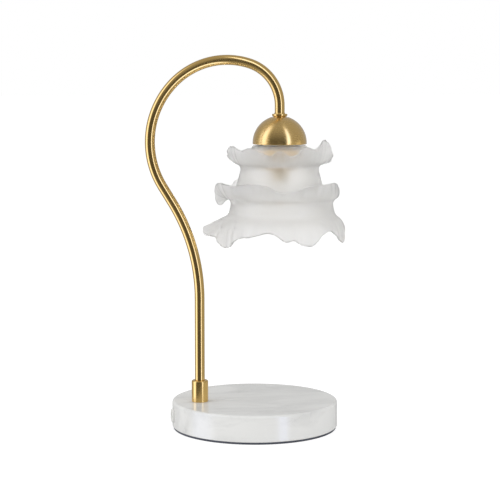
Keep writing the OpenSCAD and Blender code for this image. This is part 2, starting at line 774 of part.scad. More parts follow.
// The glass cut on one side of its axis, as [radius, height], at one angle
function glass_section(a) =
  let (
    upper = rim_at(upper_rim, a), middle = rim_at(middle_rim, a), skirt = rim_at(skirt_rim, a),
    half = ruffle_t / 2, in = [-glass_t, 0], swell = [swell_at(a), 0],
    middle_at = middle_root + swell, skirt_at = skirt_root + swell,
    middle_way = lead_for(middle_lead, middle)
  )
  concat(
    [[glass_hole_r, 0], [neck_r - 2.5, 0], [neck_r - 0.7, -0.7], [neck_r, -2.5]],
    [upper_root + [-4.5, 4.5]],
    ruffle_side(upper_root, upper_lead, upper, [0.15, 0.4, 0.7, 0.95], half),
    [ruffle_tip(upper_root, upper_lead, upper)],
    ruffle_side(upper_root, upper_lead, upper, [0.95, 0.7, 0.4, 0.15], -half),
    [upper_root + [0.7, -3], waist, middle_root + [-3, 7.5] + 0.1 * swell],
    [middle_root + [-1.4, 4] + 0.4 * swell],
    ruffle_side(middle_at, middle_way, middle, [0.15, 0.4, 0.7, 0.95], half),
    [ruffle_tip(middle_at, middle_way, middle)],
    ruffle_side(middle_at, middle_way, middle, [0.95, 0.7, 0.4, 0.15], -half),
    [middle_at + [0.5, -3.4], skirt_at + [-1.2, 6]],
    ruffle_side(skirt_at, skirt_lead, skirt, [0.1, 0.35, 0.65, 0.95], half),
    [ruffle_tip(skirt_at, skirt_lead, skirt)],
    ruffle_side(skirt_at, skirt_lead, skirt, [0.95, 0.65, 0.35, 0.1], -half),
    [skirt_at + in + [-1.2, 3], middle_root + in + [0, -2] + 0.9 * swell],
    [middle_root + in + [-2.6, 6.5] + 0.1 * swell, waist + in],
    [upper_root + in + [0, -1], [(upper_r + neck_r) / 2 - glass_t, -upper_drop / 2 - glass_t]],
    [[neck_r - glass_t, -glass_t - 1.5], [neck_r - glass_t - 2.5, -glass_t]],
    [[glass_hole_r, -glass_t]]
  );

shade_steps = 100;

module glass_shade() {
  sections = [for (s = [0 : shade_steps - 1]) glass_section(s * 360 / shade_steps - 180)];
  n = len(sections[0]);
  points = [
    for (s = [0 : shade_steps - 1], p = sections[s])
      let (a = s * 360 / shade_steps - 180) [p[0] * cos(a), p[0] * sin(a), p[1]]
  ];
  faces = [
    for (s = [0 : shade_steps - 1], i = [0 : n - 1])
      let (t = (s + 1) % shade_steps, j = (i + 1) % n)
        each [[s * n + i, t * n + j, s * n + j], [s * n + i, t * n + i, t * n + j]]
  ];
  color([0.9, 0.92, 0.92, 0.8]) at_head(glass_z) rotate(shade_turn) polyhedron(points, faces);
}

module upper_gasket() {
  color([0.85, 0.85, 0.83]) at_head(glass_z) pipe(gasket_d, gasket_hole_d, gasket_t);
}

module lower_gasket() {
  color([0.85, 0.85, 0.83]) at_head(ring_top_z) pipe(gasket_d, gasket_hole_d, gasket_t);
}

module shade_ring() {
  color([0.78, 0.62, 0.32]) at_head(ring_top_z - ring_h) difference() {
    rotate_extrude() intersection() {
      round_section(ring_d / 2, ring_h, 0.8, 0.8);
      square([ring_d, ring_h]);
    }
    translate([0, 0, -1]) cylinder(d = ring_thread_d + 2 * ring_gap, h = ring_h + 2);
    for (i = [1 : ring_notches]) rotate(i * 360 / ring_notches)
      translate([ring_d / 2 + 0.4, 0, -1]) cylinder(r = 1, h = ring_h + 2, $fn = 24);
  }
}

// ---- Bulb ----

module bulb_envelope() {
  r = bulb_d / 2;
  inner_r = r - bulb_wall;
  color([0.95, 0.9, 0.75, 0.5]) at_head(envelope_z) difference() {
    union() {
      translate([0, 0, r]) cylinder(r = r, h = bulb_l - r);
      translate([0, 0, r]) sphere(r);
    }
    translate([0, 0, r]) cylinder(r = inner_r, h = bulb_l);
    translate([0, 0, r]) sphere(inner_r);
  }
}

module bulb_base() {
  stem_w = pin_pitch + 6;
  stem_t = 9;
  color([0.94, 0.93, 0.9]) at_head(bulb_base_z) difference() {
    union() {
      cylinder(d = bulb_d + 1.8, h = bulb_cap_h);
      translate([0, (stem_w - stem_t) / 2, bulb_cap_h]) cylinder(d = stem_t, h = bulb_stem_h);
      translate([0, (stem_t - stem_w) / 2, bulb_cap_h]) cylinder(d = stem_t, h = bulb_stem_h);
      translate([-stem_t / 2, (stem_t - stem_w) / 2, bulb_cap_h])
        cube([stem_t, stem_w - stem_t, bulb_stem_h]);
    }
    translate([0, 0, -1]) cylinder(d = bulb_d + 2 * seat_gap, h = envelope_seat + 1);
  }
}

module bulb_pins() {
  color([0.8, 0.8, 0.82]) at_head(socket_z - face_gap) for (side = [-1, 1])
    translate([0, side * pin_pitch / 2, 0]) {
      cylinder(d = pin_d, h = pin_l - pin_d / 2);
      translate([0, 0, pin_l - pin_d / 2]) sphere(d = pin_d);
    }
}

module bulb_light_stick() {
  stick_l = bulb_l - envelope_seat - bulb_d / 4;
  color([0.9, 0.75, 0.3]) at_head(bulb_base_z + envelope_seat - stick_l)
    translate([-stick_w / 2, -stick_w / 2, 0]) cube([stick_w, stick_w, stick_l]);
}

marble_base();
base_pad();
cord_bushing();
base_washer();
base_lock_washer();
base_nut();
base_nipple();
nipple_bush();
terminal_block();
terminal_barrels();
terminal_screws();
terminal_tape();
stem_collar();
stem_tube();
lead_sleeving();
live_core();
neutral_core();
stem_flange();
dome_cap();
dome_lock_washer();
dome_nut();
holder_sleeve();
holder_bracket();
holder_nut();
lamp_socket();
socket_contacts();
socket_screws();
upper_gasket();
glass_shade();
lower_gasket();
shade_ring();
bulb_envelope();
bulb_base();
bulb_pins();
bulb_light_stick();
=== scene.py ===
"""Tulip shade table lamp: the finished pieces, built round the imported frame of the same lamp.

Everything is in metres, +Z is up, and the lamp stands on z = 0 in the middle of its foot.
"""

import math

import bmesh
import bpy
from bpy.props import FloatProperty, FloatVectorProperty, IntProperty, PointerProperty
from bpy.types import Operator, Panel, PropertyGroup
from mathutils import Matrix, Vector


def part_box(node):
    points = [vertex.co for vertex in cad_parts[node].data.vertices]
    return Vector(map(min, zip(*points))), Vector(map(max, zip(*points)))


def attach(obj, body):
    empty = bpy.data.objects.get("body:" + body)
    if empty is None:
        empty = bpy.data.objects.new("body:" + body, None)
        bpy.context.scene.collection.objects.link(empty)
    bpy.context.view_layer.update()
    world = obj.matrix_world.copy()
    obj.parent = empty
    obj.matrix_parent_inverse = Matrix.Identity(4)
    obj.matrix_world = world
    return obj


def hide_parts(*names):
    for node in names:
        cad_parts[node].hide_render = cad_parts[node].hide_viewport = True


bl_info = {
    "name": "Tulip Shade Table Lamp",
    "version": (1, 0, 0),
    "blender": (4, 5, 0),
    "location": "3D View > Sidebar > Lamp",
    "description": "Builds the finished pieces of a table lamp round its frame",
    "category": "Object",
}

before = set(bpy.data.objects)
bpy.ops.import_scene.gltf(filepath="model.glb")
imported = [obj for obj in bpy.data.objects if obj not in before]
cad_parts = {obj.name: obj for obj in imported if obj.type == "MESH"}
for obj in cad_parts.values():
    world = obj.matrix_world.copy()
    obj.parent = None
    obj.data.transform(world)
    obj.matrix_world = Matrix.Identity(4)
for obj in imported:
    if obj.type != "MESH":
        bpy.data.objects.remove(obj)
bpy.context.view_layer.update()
MM = 0.001
TURN = 2 * math.pi
# How far a cutter reaches past what it cuts
SPARE = 2 * MM
# Radial room of a thread or a tube in its hole
THREAD_ROOM = 0.05 * MM


def lowest(node):
    """The lowest height of a node of the frame."""
    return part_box(node)[0].z


def highest(node):
    """The highest height of a node of the frame."""
    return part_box(node)[1].z


def radius_of(node):
    """Half the width of a round node of the frame, across the lamp."""
    low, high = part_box(node)
    return (high.y - low.y) / 2


def middle_x(node):
    """Where the middle of a node of the frame is along X."""
    low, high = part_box(node)
    return (low.x + high.x) / 2


STEM_X = middle_x("stem_collar")
HEAD_X = middle_x("dome_cap")


# ---- Sizes and colours ----

def length(name, about, default):
    """A length of the lamp, in metres."""
    return FloatProperty(name=name, description=about, default=default, unit="LENGTH", precision=4)


def angle(name, about, degrees):
    """An angle of the lamp."""
    return FloatProperty(name=name, description=about, default=math.radians(degrees), subtype="ANGLE")


def colour(name, about, default):
    """A linear colour."""
    return FloatVectorProperty(
        name=name, description=about, default=default, subtype="COLOR", size=3, min=0, max=1)


def share(name, about, default):
    """A number from 0 to 1."""
    return FloatProperty(name=name, description=about, default=default, subtype="FACTOR", min=0, max=1)


class FootSizes(PropertyGroup):
    """Sizes of the foot."""
    top_edge: length("Top edge", "Radius of the marble's top edge", 2.5 * MM)
    bottom_edge: length("Bottom edge", "Radius of the marble's bottom edge", 1 * MM)
    pocket_width: length("Pocket width", "Width of the wiring pocket under the marble", 28 * MM)
    pocket_depth: length("Pocket depth", "Depth of the wiring pocket", 17 * MM)
    pocket_spare: length("Pocket spare", "Room in the pocket past the terminal block", 3 * MM)
    hole_radius: length("Stem hole", "Radius of the hole for the nipple", 5.2 * MM)
    inlet_radius: length("Inlet hole", "Radius of the hole for the inlet bushing", 4.4 * MM)
    inlet_seat: length("Inlet seat", "Radius of the shallow seat round the inlet", 6.9 * MM)
    lead_bore: length("Lead bore", "Radius of the bushing's bore", 3.1 * MM)
    bushing_shank: length("Bushing shank", "Radius of the bushing inside the marble", 4.2 * MM)
    bushing_edge: length("Bushing edge", "Radius of the bushing's outer edge", 0.8 * MM)
    bushing_lip: length("Bushing lip", "How far the lip inside the marble stands out", 0.7 * MM)
    lip_length: length("Lip length", "Length of that lip", 1.5 * MM)
    seat_depth: length("Seat depth", "Depth of the inlet seat", 0.4 * MM)


class StemSizes(PropertyGroup):
    """Route and sizes of the stem."""
    tube_radius: length("Tube radius", "Outer radius of the bent tube", 4.75 * MM)
    tube_wall: length("Tube wall", "Wall of the bent tube", 1 * MM)
    tube_seat: length("Tube seat", "Depth to which the tube goes into the collar", 10 * MM)
    end_ring: length("End ring", "Short ring at each hidden end, so that the sides shade as straight", 1 * MM)
    upright: length("Upright", "Straight length of the stem over the foot", 99.8 * MM)
    lean_radius: length("Lean radius", "Radius of the bend away from the shade", 179 * MM)
    lean_angle: angle("Lean angle", "Angle of the bend away from the shade", 31.3)
    lean_length: length("Lean length", "Straight length after the lean", 18 * MM)
    crook_radius: length("Crook radius", "Radius of the first bend of the crook", 80 * MM)
    crook_angle: angle("Crook angle", "Angle of the first bend of the crook", 75.5)
    top_radius: length("Top radius", "Radius of the bend over the top", 72 * MM)
    top_angle: angle("Top angle", "Angle of the bend over the top", 63.5)
    drop_radius: length("Drop radius", "Radius of the bend down to the shade", 42 * MM)
    collar_edge: length("Collar edge", "Radius of the collar's top edge", 1.3 * MM)
    collar_step: length("Collar step", "Height of the slope between the collar's two bores", 1.3 * MM)
    flange_neck: length("Flange neck", "Length of the flange's neck round the tube", 1 * MM)
    flange_plate: length("Flange plate", "Thickness of the flange's plate", 2.8 * MM)
    groove: length("Groove", "Height of the groove between flange and dome", 0.4 * MM)
    groove_radius: length("Groove radius", "Radius inside that groove", 5.5 * MM)
    stub_radius: length("Stub radius", "Radius of the flange's threaded stub", 5 * MM)
    stub_bore: length("Stub bore", "Radius of the bore for the wires", 3.7 * MM)
    braze_depth: length("Braze depth", "How far the tube goes into the plate", 1.2 * MM)


class HeadSizes(PropertyGroup):
    """Sizes of the dome, the lampholder and the bulb."""
    dome_wall: length("Dome wall", "Wall of the dome", 1 * MM)
    dome_flat: length("Dome flat", "Radius of the flat on the dome's top", 8.5 * MM)
    thread_hole: length("Thread hole", "Radius of the hole for the lamp thread", 5.2 * MM)
    tapped_hole: length("Tapped hole", "Radius of a hole that is tapped for the lamp thread", 5.05 * MM)
    sleeve_body: length("Sleeve body", "Radius of the sleeve over its shoulder", 13 * MM)
    shoulder: length("Shoulder", "Thickness of the sleeve's shoulder", 1.5 * MM)
    sleeve_top: length("Sleeve top", "Thickness of the sleeve's top", 1.5 * MM)
    ring_thread: length("Ring thread", "Radius over the sleeve's ring thread", 14 * MM)
    ring_pitch: length("Ring pitch", "Pitch of the sleeve's ring thread", 2 * MM)
    thread_depth: length("Thread depth", "Depth of the ring thread", 0.7 * MM)
    sleeve_bore: length("Sleeve bore", "Radius of the sleeve's bore", 11.8 * MM)
    ring_gap: length("Ring gap", "Clearance of the ring on its thread", 0.08 * MM)
    gasket_gap: length("Gasket gap", "Clearance of the gaskets on the ring thread", 0.2 * MM)
    notch_depth: length("Notch depth", "Depth of the ring's finger notches", 0.6 * MM)
    notch_band: length("Notch band", "How far in from the ring's edge the notches reach", 1.2 * MM)
    notches: IntProperty(name="Notches", description="Finger notches round the ring", default=24)
    bulb_wall: length("Bulb wall", "Wall of the bulb's glass", 0.8 * MM)


class ShadeSizes(PropertyGroup):
    """Sizes of the glass shade, from its top face down."""
    wall: length("Wall", "Wall of the glass body", 2.6 * MM)
    ruffle: length("Ruffle", "Thickness of the ruffles", 2.2 * MM)
    hole: length("Hole", "Radius of the hole for the ring thread", 14.6 * MM)
    neck: length("Neck", "Radius of the flat neck", 27 * MM)
    upper_radius: length("Upper radius", "Radius of the body at the upper ruffle", 36.5 * MM)
    upper_drop: length("Upper drop", "Drop to the upper ruffle", 18.6 * MM)
    waist_radius: length("Waist radius", "Radius of the body's waist", 40.5 * MM)
    waist_drop: length("Waist drop", "Drop to the waist", 35 * MM)
    middle_radius: length("Middle radius", "Radius of the body at the middle ruffle", 46 * MM)
    middle_drop: length("Middle drop", "Drop to the middle ruffle", 51.6 * MM)
    skirt_radius: length("Skirt radius", "Radius of the body at the skirt", 49.5 * MM)
    skirt_drop: length("Skirt drop", "Drop to the skirt", 68.6 * MM)
    petal: length("Petal", "Length of an average petal, which the rims are measured in", 10 * MM)
    swell: length("Swell", "Extra radius of the lower body on one side", 4.5 * MM)
    turned: angle("Turned", "Turn of the shade about its axis", 258)
    ripple: length("Ripple", "Depth of the fine pleats at the rims", 0.9 * MM)
    steps: IntProperty(name="Steps", description="Steps round the shade", default=216)


class LampColours(PropertyGroup):
    """Colours of the lamp's finishes."""
    marble: colour("Marble", "Pale ground of the marble", (0.785, 0.785, 0.77))
    marble_cloud: colour("Marble clouds", "Grey clouds in the marble", (0.64, 0.64, 0.63))
    marble_vein: colour("Marble veins", "Thin veins in the marble", (0.50, 0.50, 0.49))
    brass: colour("Brass", "Satin brass", (0.78, 0.53, 0.19))
    brass_dull: colour("Dull brass", "Brass where it is handled", (0.72, 0.47, 0.155))
    glass: colour("Glass", "Milky frosted glass at the top", (1.0, 0.993, 0.977))
    # The hem colour is painted shade: the glass greys towards the hem
    glass_hem_shade: colour("Glass hem", "Thicker glass towards the hem", (0.85, 0.842, 0.825))
    glass_cloud: colour("Glass clouds", "Denser clouds in the glass", (0.90, 0.89, 0.87))
    # The rims' colour is painted shade: the ruffles grey towards their rims
    glass_rim_shade: colour("Glass rims", "Rims of the ruffles", (0.88, 0.875, 0.865))
    pad: colour("Foot pad", "Foam pad under the marble", (0.075, 0.08, 0.10))
    bushing: colour("Bushing", "Inlet bushing", (0.80, 0.80, 0.77))
    ceramic: colour("Ceramic", "Socket and bulb base", (0.84, 0.79, 0.66))
    bulb: colour("Bulb", "Warm glass of the bulb", (0.92, 0.80, 0.55))
    bulb_film: colour("Bulb film", "Film on the bulb's glass", (0.82, 0.70, 0.46))


class StudioSettings(PropertyGroup):
    """Camera and light."""
    camera_place: FloatVectorProperty(
        name="Camera place", description="Where the camera stands", unit="LENGTH",
        default=(-0.3067, -1.4683, 0.33596))
    camera_pitch: angle("Camera pitch", "Tilt of the camera, 90 degrees being level", 83.786)
    camera_heading: angle("Camera heading", "Turn of the camera about the vertical", -11.623)
    camera_lens: FloatProperty(name="Lens", description="Focal length in millimetres", default=112.85)
    sky: share("Sky", "Light of the white surroundings", 0.77)
    key_power: FloatProperty(name="Key light", description="Power of the left light, in watts", default=9)
    fill_power: FloatProperty(name="Fill light", description="Power of the right light, in watts", default=5)
    top_power: FloatProperty(name="Top light", description="Power of the overhead light", default=7)


# ---- Meshes ----

def turned(outline, centre_x, steps=96):
    """Spins an outline of (radius, height, corner radius) round a vertical axis.

    The layer "along" keeps each point's distance along the outline, for marks that run round.
    """
    bm = bmesh.new()
    along = bm.verts.layers.float.new("along")
    corners = [bm.verts.new((point[0], 0, point[1])) for point in outline]
    bm.faces.new(corners)
    for corner, point in zip(corners, outline):
        if len(point) > 2 and point[2] > 0:
            bmesh.ops.bevel(
                bm, geom=[corner], offset=point[2], offset_type="OFFSET", affect="VERTICES",
                segments=5, profile=0.5, material=-1)
    bm.faces.ensure_lookup_table()
    section = bm.faces[0]
    travelled = 0
    for loop in section.loops:
        loop.vert[along] = travelled
        travelled += loop.edge.calc_length()
    bmesh.ops.delete(bm, geom=[section], context="FACES_ONLY")
    on_axis = [e for e in bm.edges if all(abs(v.co.x) < 1e-7 for v in e.verts)]
    bmesh.ops.delete(bm, geom=on_axis, context="EDGES")
    bmesh.ops.spin(
        bm, geom=bm.verts[:] + bm.edges[:], cent=(0, 0, 0), axis=(0, 0, 1), dvec=(0, 0, 0), angle=TURN,
        space=Matrix.Identity(4), steps=steps, use_merge=True, use_normal_flip=False,
        use_duplicate=False)
    bmesh.ops.remove_doubles(bm, verts=bm.verts[:], dist=1e-7)
    bmesh.ops.recalc_face_normals(bm, faces=bm.faces[:])
    bmesh.ops.translate(bm, vec=(centre_x, 0, 0), verts=bm.verts[:])
    return bm


def arc(centre_r, centre_z, radius, start, end, steps):
    """Points of (radius, height) along an arc, with its angles in degrees from level."""
    points = []
    for i in range(steps + 1):
        turn = math.radians(start + (end - start) * i / steps)
        points.append((centre_r + radius * math.cos(turn), centre_z + radius * math.sin(turn)))
    return points


def shape(bm, name, sharp=35, weighted=True):
    """Makes an object of a bmesh, smooth but for the edges sharper than an angle in degrees."""
    mesh = bpy.data.meshes.new(name)
    bm.to_mesh(mesh)
    bm.free()
    mesh.shade_smooth()
    mesh.set_sharp_from_angle(angle=math.radians(sharp))
    piece = bpy.data.objects.new(name, mesh)
    bpy.context.scene.collection.objects.link(piece)
    if weighted:
        normals = piece.modifiers.new("Weighted normals", "WEIGHTED_NORMAL")
        normals.keep_sharp = True
    return piece


def put(piece, body, slot, material, *replaced):
    """Gives a piece its body and material, and hides the nodes that it stands for."""
    piece.data.materials.clear()
    piece.data.materials.append(material)
    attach(piece, body)
    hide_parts(*replaced)
    return piece


def cut(piece, cutters):
    """Cuts the shapes of some bmeshes out of a piece."""
    tools = []
    for i, bm in enumerate(cutters):
        tool = shape(bm, f"cutter_{i}", weighted=False)
        tools.append(tool)
        boolean = piece.modifiers.new(f"Cut {i}", "BOOLEAN")
        boolean.operation = "DIFFERENCE"
        boolean.solver = "EXACT"
        boolean.object = tool
    evaluated = piece.evaluated_get(bpy.context.evaluated_depsgraph_get())
    mesh = bpy.data.meshes.new_from_object(evaluated)
    piece.modifiers.clear()
    old = piece.data
    piece.data = mesh
    mesh.name = piece.name
    bpy.data.meshes.remove(old)
    for tool in tools:
        bpy.data.meshes.remove(tool.data)
    normals = piece.modifiers.new("Weighted normals", "WEIGHTED_NORMAL")
    normals.keep_sharp = True


def bar(radius, start, end, segments=64):
    """A round bar between two points."""
    bm = bmesh.new()
    start, end = Vector(start), Vector(end)
    along = end - start
    place = Matrix.Translation((start + end) / 2) @ along.to_track_quat("Z", "Y").to_matrix().to_4x4()
    bmesh.ops.create_cone(
        bm, cap_ends=True, cap_tris=False, segments=segments, radius1=radius, radius2=radius,
        depth=along.length, matrix=place)
    return bm


# ---- Shader nodes ----

def add_node(tree, kind, inputs=None, **settings):
    """Adds a node, sets its properties, and fills its inputs with values or links."""
    made = tree.nodes.new(kind)
    for name, value in settings.items():
        setattr(made, name, value)
    for name, value in (inputs or {}).items():
        if isinstance(value, bpy.types.NodeSocket):
            tree.links.new(value, made.inputs[name])
        else:
            made.inputs[name].default_value = value
    return made


def rgba(three):
    """A colour with full alpha."""
    return (*three, 1)


def maths(tree, operation, first, second=0.0, clamp=False):
    """One step of arithmetic."""
    return add_node(
        tree, "ShaderNodeMath", {0: first, 1: second}, operation=operation, use_clamp=clamp).outputs[0]


def spread(tree, value, low, high, new_low=0.0, new_high=1.0):
    """Maps a value from one range to another, and clamps it."""
    return add_node(tree, "ShaderNodeMapRange", {
        "Value": value, "From Min": low, "From Max": high, "To Min": new_low, "To Max": new_high,
    }).outputs["Result"]


def mix(tree, factor, first, second):
    """Blends two colours."""
    blended = add_node(tree, "ShaderNodeMix", data_type="RGBA")
    for name, value in (("Factor", factor), ("A", first), ("B", second)):
        for socket in blended.inputs:
            if socket.name == name and socket.enabled:
                if isinstance(value, bpy.types.NodeSocket):
                    tree.links.new(value, socket)
                else:
                    socket.default_value = value
    return next(s for s in blended.outputs if s.enabled)


def noise(tree, where, scale, detail=2.0, roughness=0.5, distortion=0.0):
    """A noise pattern."""
    return add_node(tree, "ShaderNodeTexNoise", {
        "Vector": where, "Scale": scale, "Detail": detail, "Roughness": roughness,
        "Distortion": distortion}).outputs["Fac"]


def placed(tree, turn=(0, 0, 0), scale=(1, 1, 1), move=(0, 0, 0)):
    """Object coordinates, moved, turned and scaled."""
    where = add_node(tree, "ShaderNodeTexCoord").outputs["Object"]
    return add_node(tree, "ShaderNodeMapping", {
        "Vector": where, "Location": move, "Rotation": turn, "Scale": scale}).outputs["Vector"]


def new_group(name, inputs, outputs):
    """An empty shader node group with float inputs, and its ends."""
    tree = bpy.data.node_groups.new(name, "ShaderNodeTree")
    for socket, value in inputs.items():
        made = tree.interface.new_socket(name=socket, in_out="INPUT", socket_type="NodeSocketFloat")
        made.default_value = value
    for socket in outputs:
        tree.interface.new_socket(name=socket, in_out="OUTPUT", socket_type="NodeSocketFloat")
    return tree, tree.nodes.new("NodeGroupInput"), tree.nodes.new("NodeGroupOutput")


def group_of(name, build):
    """The named node group, built the first time that it is asked for."""
    return bpy.data.node_groups.get(name) or build(name)


def build_grain(name):
    """Fine even grain, such as a moulded or blasted surface has."""
    tree, given, made = new_group(name, {"Scale": 3000, "Contrast": 1}, ["Grain"])
    where = add_node(tree, "ShaderNodeTexCoord").outputs["Object"]
    speckle = noise(tree, where, given.outputs["Scale"], 3, 0.6)
    centred = maths(tree, "MULTIPLY", maths(tree, "SUBTRACT", speckle, 0.5), given.outputs["Contrast"])
    tree.links.new(maths(tree, "ADD", centred, 0.5, clamp=True), made.inputs["Grain"])
    return tree


def build_brushing(name):
    """Fine lines that run round a piece, from the distance along its outline."""
    tree, given, made = new_group(name, {"Along": 0, "Lines": 5200, "Stroke": 90}, ["Lines"])
    where = add_node(tree, "ShaderNodeTexCoord").outputs["Object"]
    line = maths(tree, "MULTIPLY", given.outputs["Along"], given.outputs["Lines"])
    stretched = add_node(
        tree, "ShaderNodeVectorMath", {0: where, "Scale": given.outputs["Stroke"]}, operation="SCALE")
    fine = add_node(tree, "ShaderNodeTexNoise", {
        "Vector": stretched.outputs[0], "W": line, "Scale": 1.0, "Detail": 2, "Roughness": 0.6},
        noise_dimensions="4D")
    tree.links.new(spread(tree, fine.outputs["Fac"], 0.3, 0.7), made.inputs["Lines"])
    return tree


def build_smudges(name):
    """Soft patches left by handling and wiping."""
    tree, given, made = new_group(name, {"Scale": 40}, ["Smudges"])
    where = add_node(tree, "ShaderNodeTexCoord").outputs["Object"]
    broad = noise(tree, where, given.outputs["Scale"], 3, 0.55, distortion=0.6)
    tree.links.new(spread(tree, broad, 0.42, 0.68), made.inputs["Smudges"])
    return tree


def use_group(tree, name, build, **inputs):
    """Places a shared group and returns its first output."""
    placed_group = add_node(tree, "ShaderNodeGroup", node_tree=group_of(name, build))
    for socket, value in inputs.items():
        if isinstance(value, bpy.types.NodeSocket):
            tree.links.new(value, placed_group.inputs[socket])
        else:
            placed_group.inputs[socket].default_value = value
    return placed_group.outputs[0]


def grain(tree, scale=3000.0, contrast=1.0):
    """Fine grain from 0 to 1."""
    return use_group(tree, "Fine grain", build_grain, Scale=scale, Contrast=contrast)


def smudges(tree, scale):
    """Handling smudges from 0 to 1."""
    return use_group(tree, "Handling smudges", build_smudges, Scale=scale)


def brushing(tree, lines=5200.0, stroke=90.0):
    """Brushed lines from 0 to 1 round a piece that has the attribute "along"."""
    along = add_node(
        tree, "ShaderNodeAttribute", attribute_name="along", attribute_type="GEOMETRY").outputs["Fac"]
    return use_group(tree, "Brushed lines", build_brushing, Along=along, Lines=lines, Stroke=stroke)


def new_material(name, constants):
    """A material with its Principled shader, whose plain sockets are set."""
    material = bpy.data.materials.new(name)
    material.use_nodes = True
    tree = material.node_tree
    surface = tree.nodes["Principled BSDF"]
    for socket, value in constants.items():
        surface.inputs[socket].default_value = value
    return material, tree, surface


def wire(tree, surface, base=None, roughness=None, height=None, bump_depth=0.0, bump=0.3):
    """Links a pattern's colour, roughness and height to the shader."""
    if base is not None:
        tree.links.new(base, surface.inputs["Base Color"])
    if roughness is not None:
        tree.links.new(roughness, surface.inputs["Roughness"])
    if height is not None:
        relief = add_node(tree, "ShaderNodeBump", {
            "Height": height, "Strength": bump, "Distance": bump_depth})
        tree.links.new(relief.outputs["Normal"], surface.inputs["Normal"])


# ---- Finishes ----

# How much light the shade's frosted glass lets through
GLASS_CLEARNESS = 0.88
# Where the ground band under the dome starts and is full, down from the top of the glass
GROUND_BAND = (5 * MM, 3 * MM)


def marble_finish(colours):
    """Polished white marble with soft grey clouds and a few thin veins."""
    material, tree, surface = new_material("Polished marble", {"IOR": 1.5, "Specular IOR Level": 0.5})
    bands = placed(tree, turn=(0.1, 0.15, 0.55), scale=(9, 26, 20))
    clouds = spread(tree, noise(tree, bands, 1.0, 5, 0.55, distortion=0.9), 0.44, 0.74)
    wisps = noise(tree, placed(tree, turn=(0.2, 0, 0.75), scale=(16, 40, 30), move=(3, 1, 0)),
                  1.0, 6, 0.62, distortion=1.4)
    ridge = maths(tree, "ABSOLUTE", maths(tree, "SUBTRACT", wisps, 0.5))
    veins = maths(tree, "MULTIPLY", spread(tree, ridge, 0.0, 0.022, 1, 0), clouds)
    ground = mix(tree, clouds, rgba(colours.marble), rgba(colours.marble_cloud))
    crystals = grain(tree, 1400, 0.5)
    stone = mix(tree, maths(tree, "MULTIPLY", veins, 0.5), ground, rgba(colours.marble_vein))
    wire(tree, surface, mix(tree, maths(tree, "MULTIPLY", crystals, 0.06), stone, (1, 1, 1, 1)),
         spread(tree, smudges(tree, 30), 0, 1, 0.13, 0.2), crystals, 0.00002, 0.05)
    return material


def brass_finish(colours, name, lacquer, stretch, lines=5200.0, dullest=0.2, relief=0.00001):
    """Brass with fine lines round each piece, which can stretch its highlights across them."""
    material, tree, surface = new_material(name, {
        "Metallic": 1.0, "Coat Weight": lacquer, "Coat Roughness": 0.1,
        "Anisotropic": stretch, "Anisotropic Rotation": 0.25})
    marks = brushing(tree, lines)
    handled = smudges(tree, 55)
    tone = maths(tree, "ADD", maths(tree, "MULTIPLY", marks, 0.2), maths(tree, "MULTIPLY", handled, 0.3))
    rough = maths(tree, "ADD", spread(tree, marks, 0, 1, dullest - 0.04, dullest),
                  maths(tree, "MULTIPLY", handled, 0.04))
    wire(tree, surface, mix(tree, tone, rgba(colours.brass), rgba(colours.brass_dull)), rough,
         marks, relief, 0.05)
    return material


def glass_finish(colours):
    """Milky glass with an acid-frosted face, greyed towards the hem and the ruffles' rims as painted
    shade, smoother towards the neck and at the rims, and ground rough in a band close under the dome."""
    material, tree, surface = new_material("Frosted glass", {
        "IOR": 1.46, "Transmission Weight": GLASS_CLEARNESS, "Metallic": 0.0,
        "Specular IOR Level": 0.5})
    clouds = spread(tree, noise(tree, placed(tree, scale=(30, 30, 60)), 1.0, 4, 0.55, distortion=0.5),
                    0.35, 0.7)
    rim = add_node(
        tree, "ShaderNodeAttribute", attribute_name="rim", attribute_type="GEOMETRY").outputs["Fac"]
    height = add_node(tree, "ShaderNodeSeparateXYZ", {"Vector": placed(tree)}).outputs["Z"]
    hem, neck = lowest("glass_shade"), lowest("upper_gasket")
    waist = (hem + 2 * neck) / 3
    # Painted shade: the glass greys from its top colour at the waist down to the hem colour
    milk = mix(tree, spread(tree, height, hem, waist), rgba(colours.glass_hem_shade), rgba(colours.glass))
    milk = mix(tree, maths(tree, "MULTIPLY", clouds, 0.3), milk, rgba(colours.glass_cloud))
    frost = grain(tree, 2600, 1.0)
    uneven = maths(tree, "ADD", maths(tree, "MULTIPLY", frost, 0.06), clouds)
    sanded = maths(tree, "ADD", spread(tree, frost, 0, 1, 0.42, 0.5),
                   maths(tree, "MULTIPLY", clouds, 0.08))
    body = spread(tree, rim, 0, 0.3, 1, 0)
    smoother = maths(tree, "MULTIPLY", body, spread(tree, height, waist, neck, 0, 0.5))
    start, full = (neck - down for down in GROUND_BAND)
    ground = maths(tree, "MULTIPLY", body, spread(tree, height, start, full, 0, 0.7))
    edges = spread(tree, rim, 0.8, 1, 0, 0.3)
    left = maths(tree, "SUBTRACT", 1.0, maths(tree, "ADD", smoother, edges))
    rough = maths(tree, "ADD", maths(tree, "MULTIPLY", sanded, left), ground, clamp=True)
    # Painted shade: the ruffles grey towards their rims
    wire(tree, surface, mix(tree, spread(tree, rim, 0.25, 1), milk, rgba(colours.glass_rim_shade)),
         rough, uneven, 0.0006, 0.3)
    return material


def moulded_finish(name, base, roughness, grain_scale=2200.0, relief=0.00004, constants=None):
    """A plain moulded, cast or sprayed surface: a colour with a fine grain and soft smudges."""
    material, tree, surface = new_material(name, constants or {})
    speckle = grain(tree, grain_scale, 1.2)
    worn = smudges(tree, 120)
    darker = tuple(0.82 * part for part in base)
    tone = maths(tree, "ADD", maths(tree, "MULTIPLY", speckle, 0.5), maths(tree, "MULTIPLY", worn, 0.35))
    rough = maths(tree, "ADD", spread(tree, speckle, 0, 1, roughness - 0.04, roughness + 0.05),
                  maths(tree, "MULTIPLY", worn, 0.06))
    wire(tree, surface, mix(tree, tone, rgba(base), rgba(darker)), rough, speckle, relief, 0.3)
    return material


# ---- Pieces ----

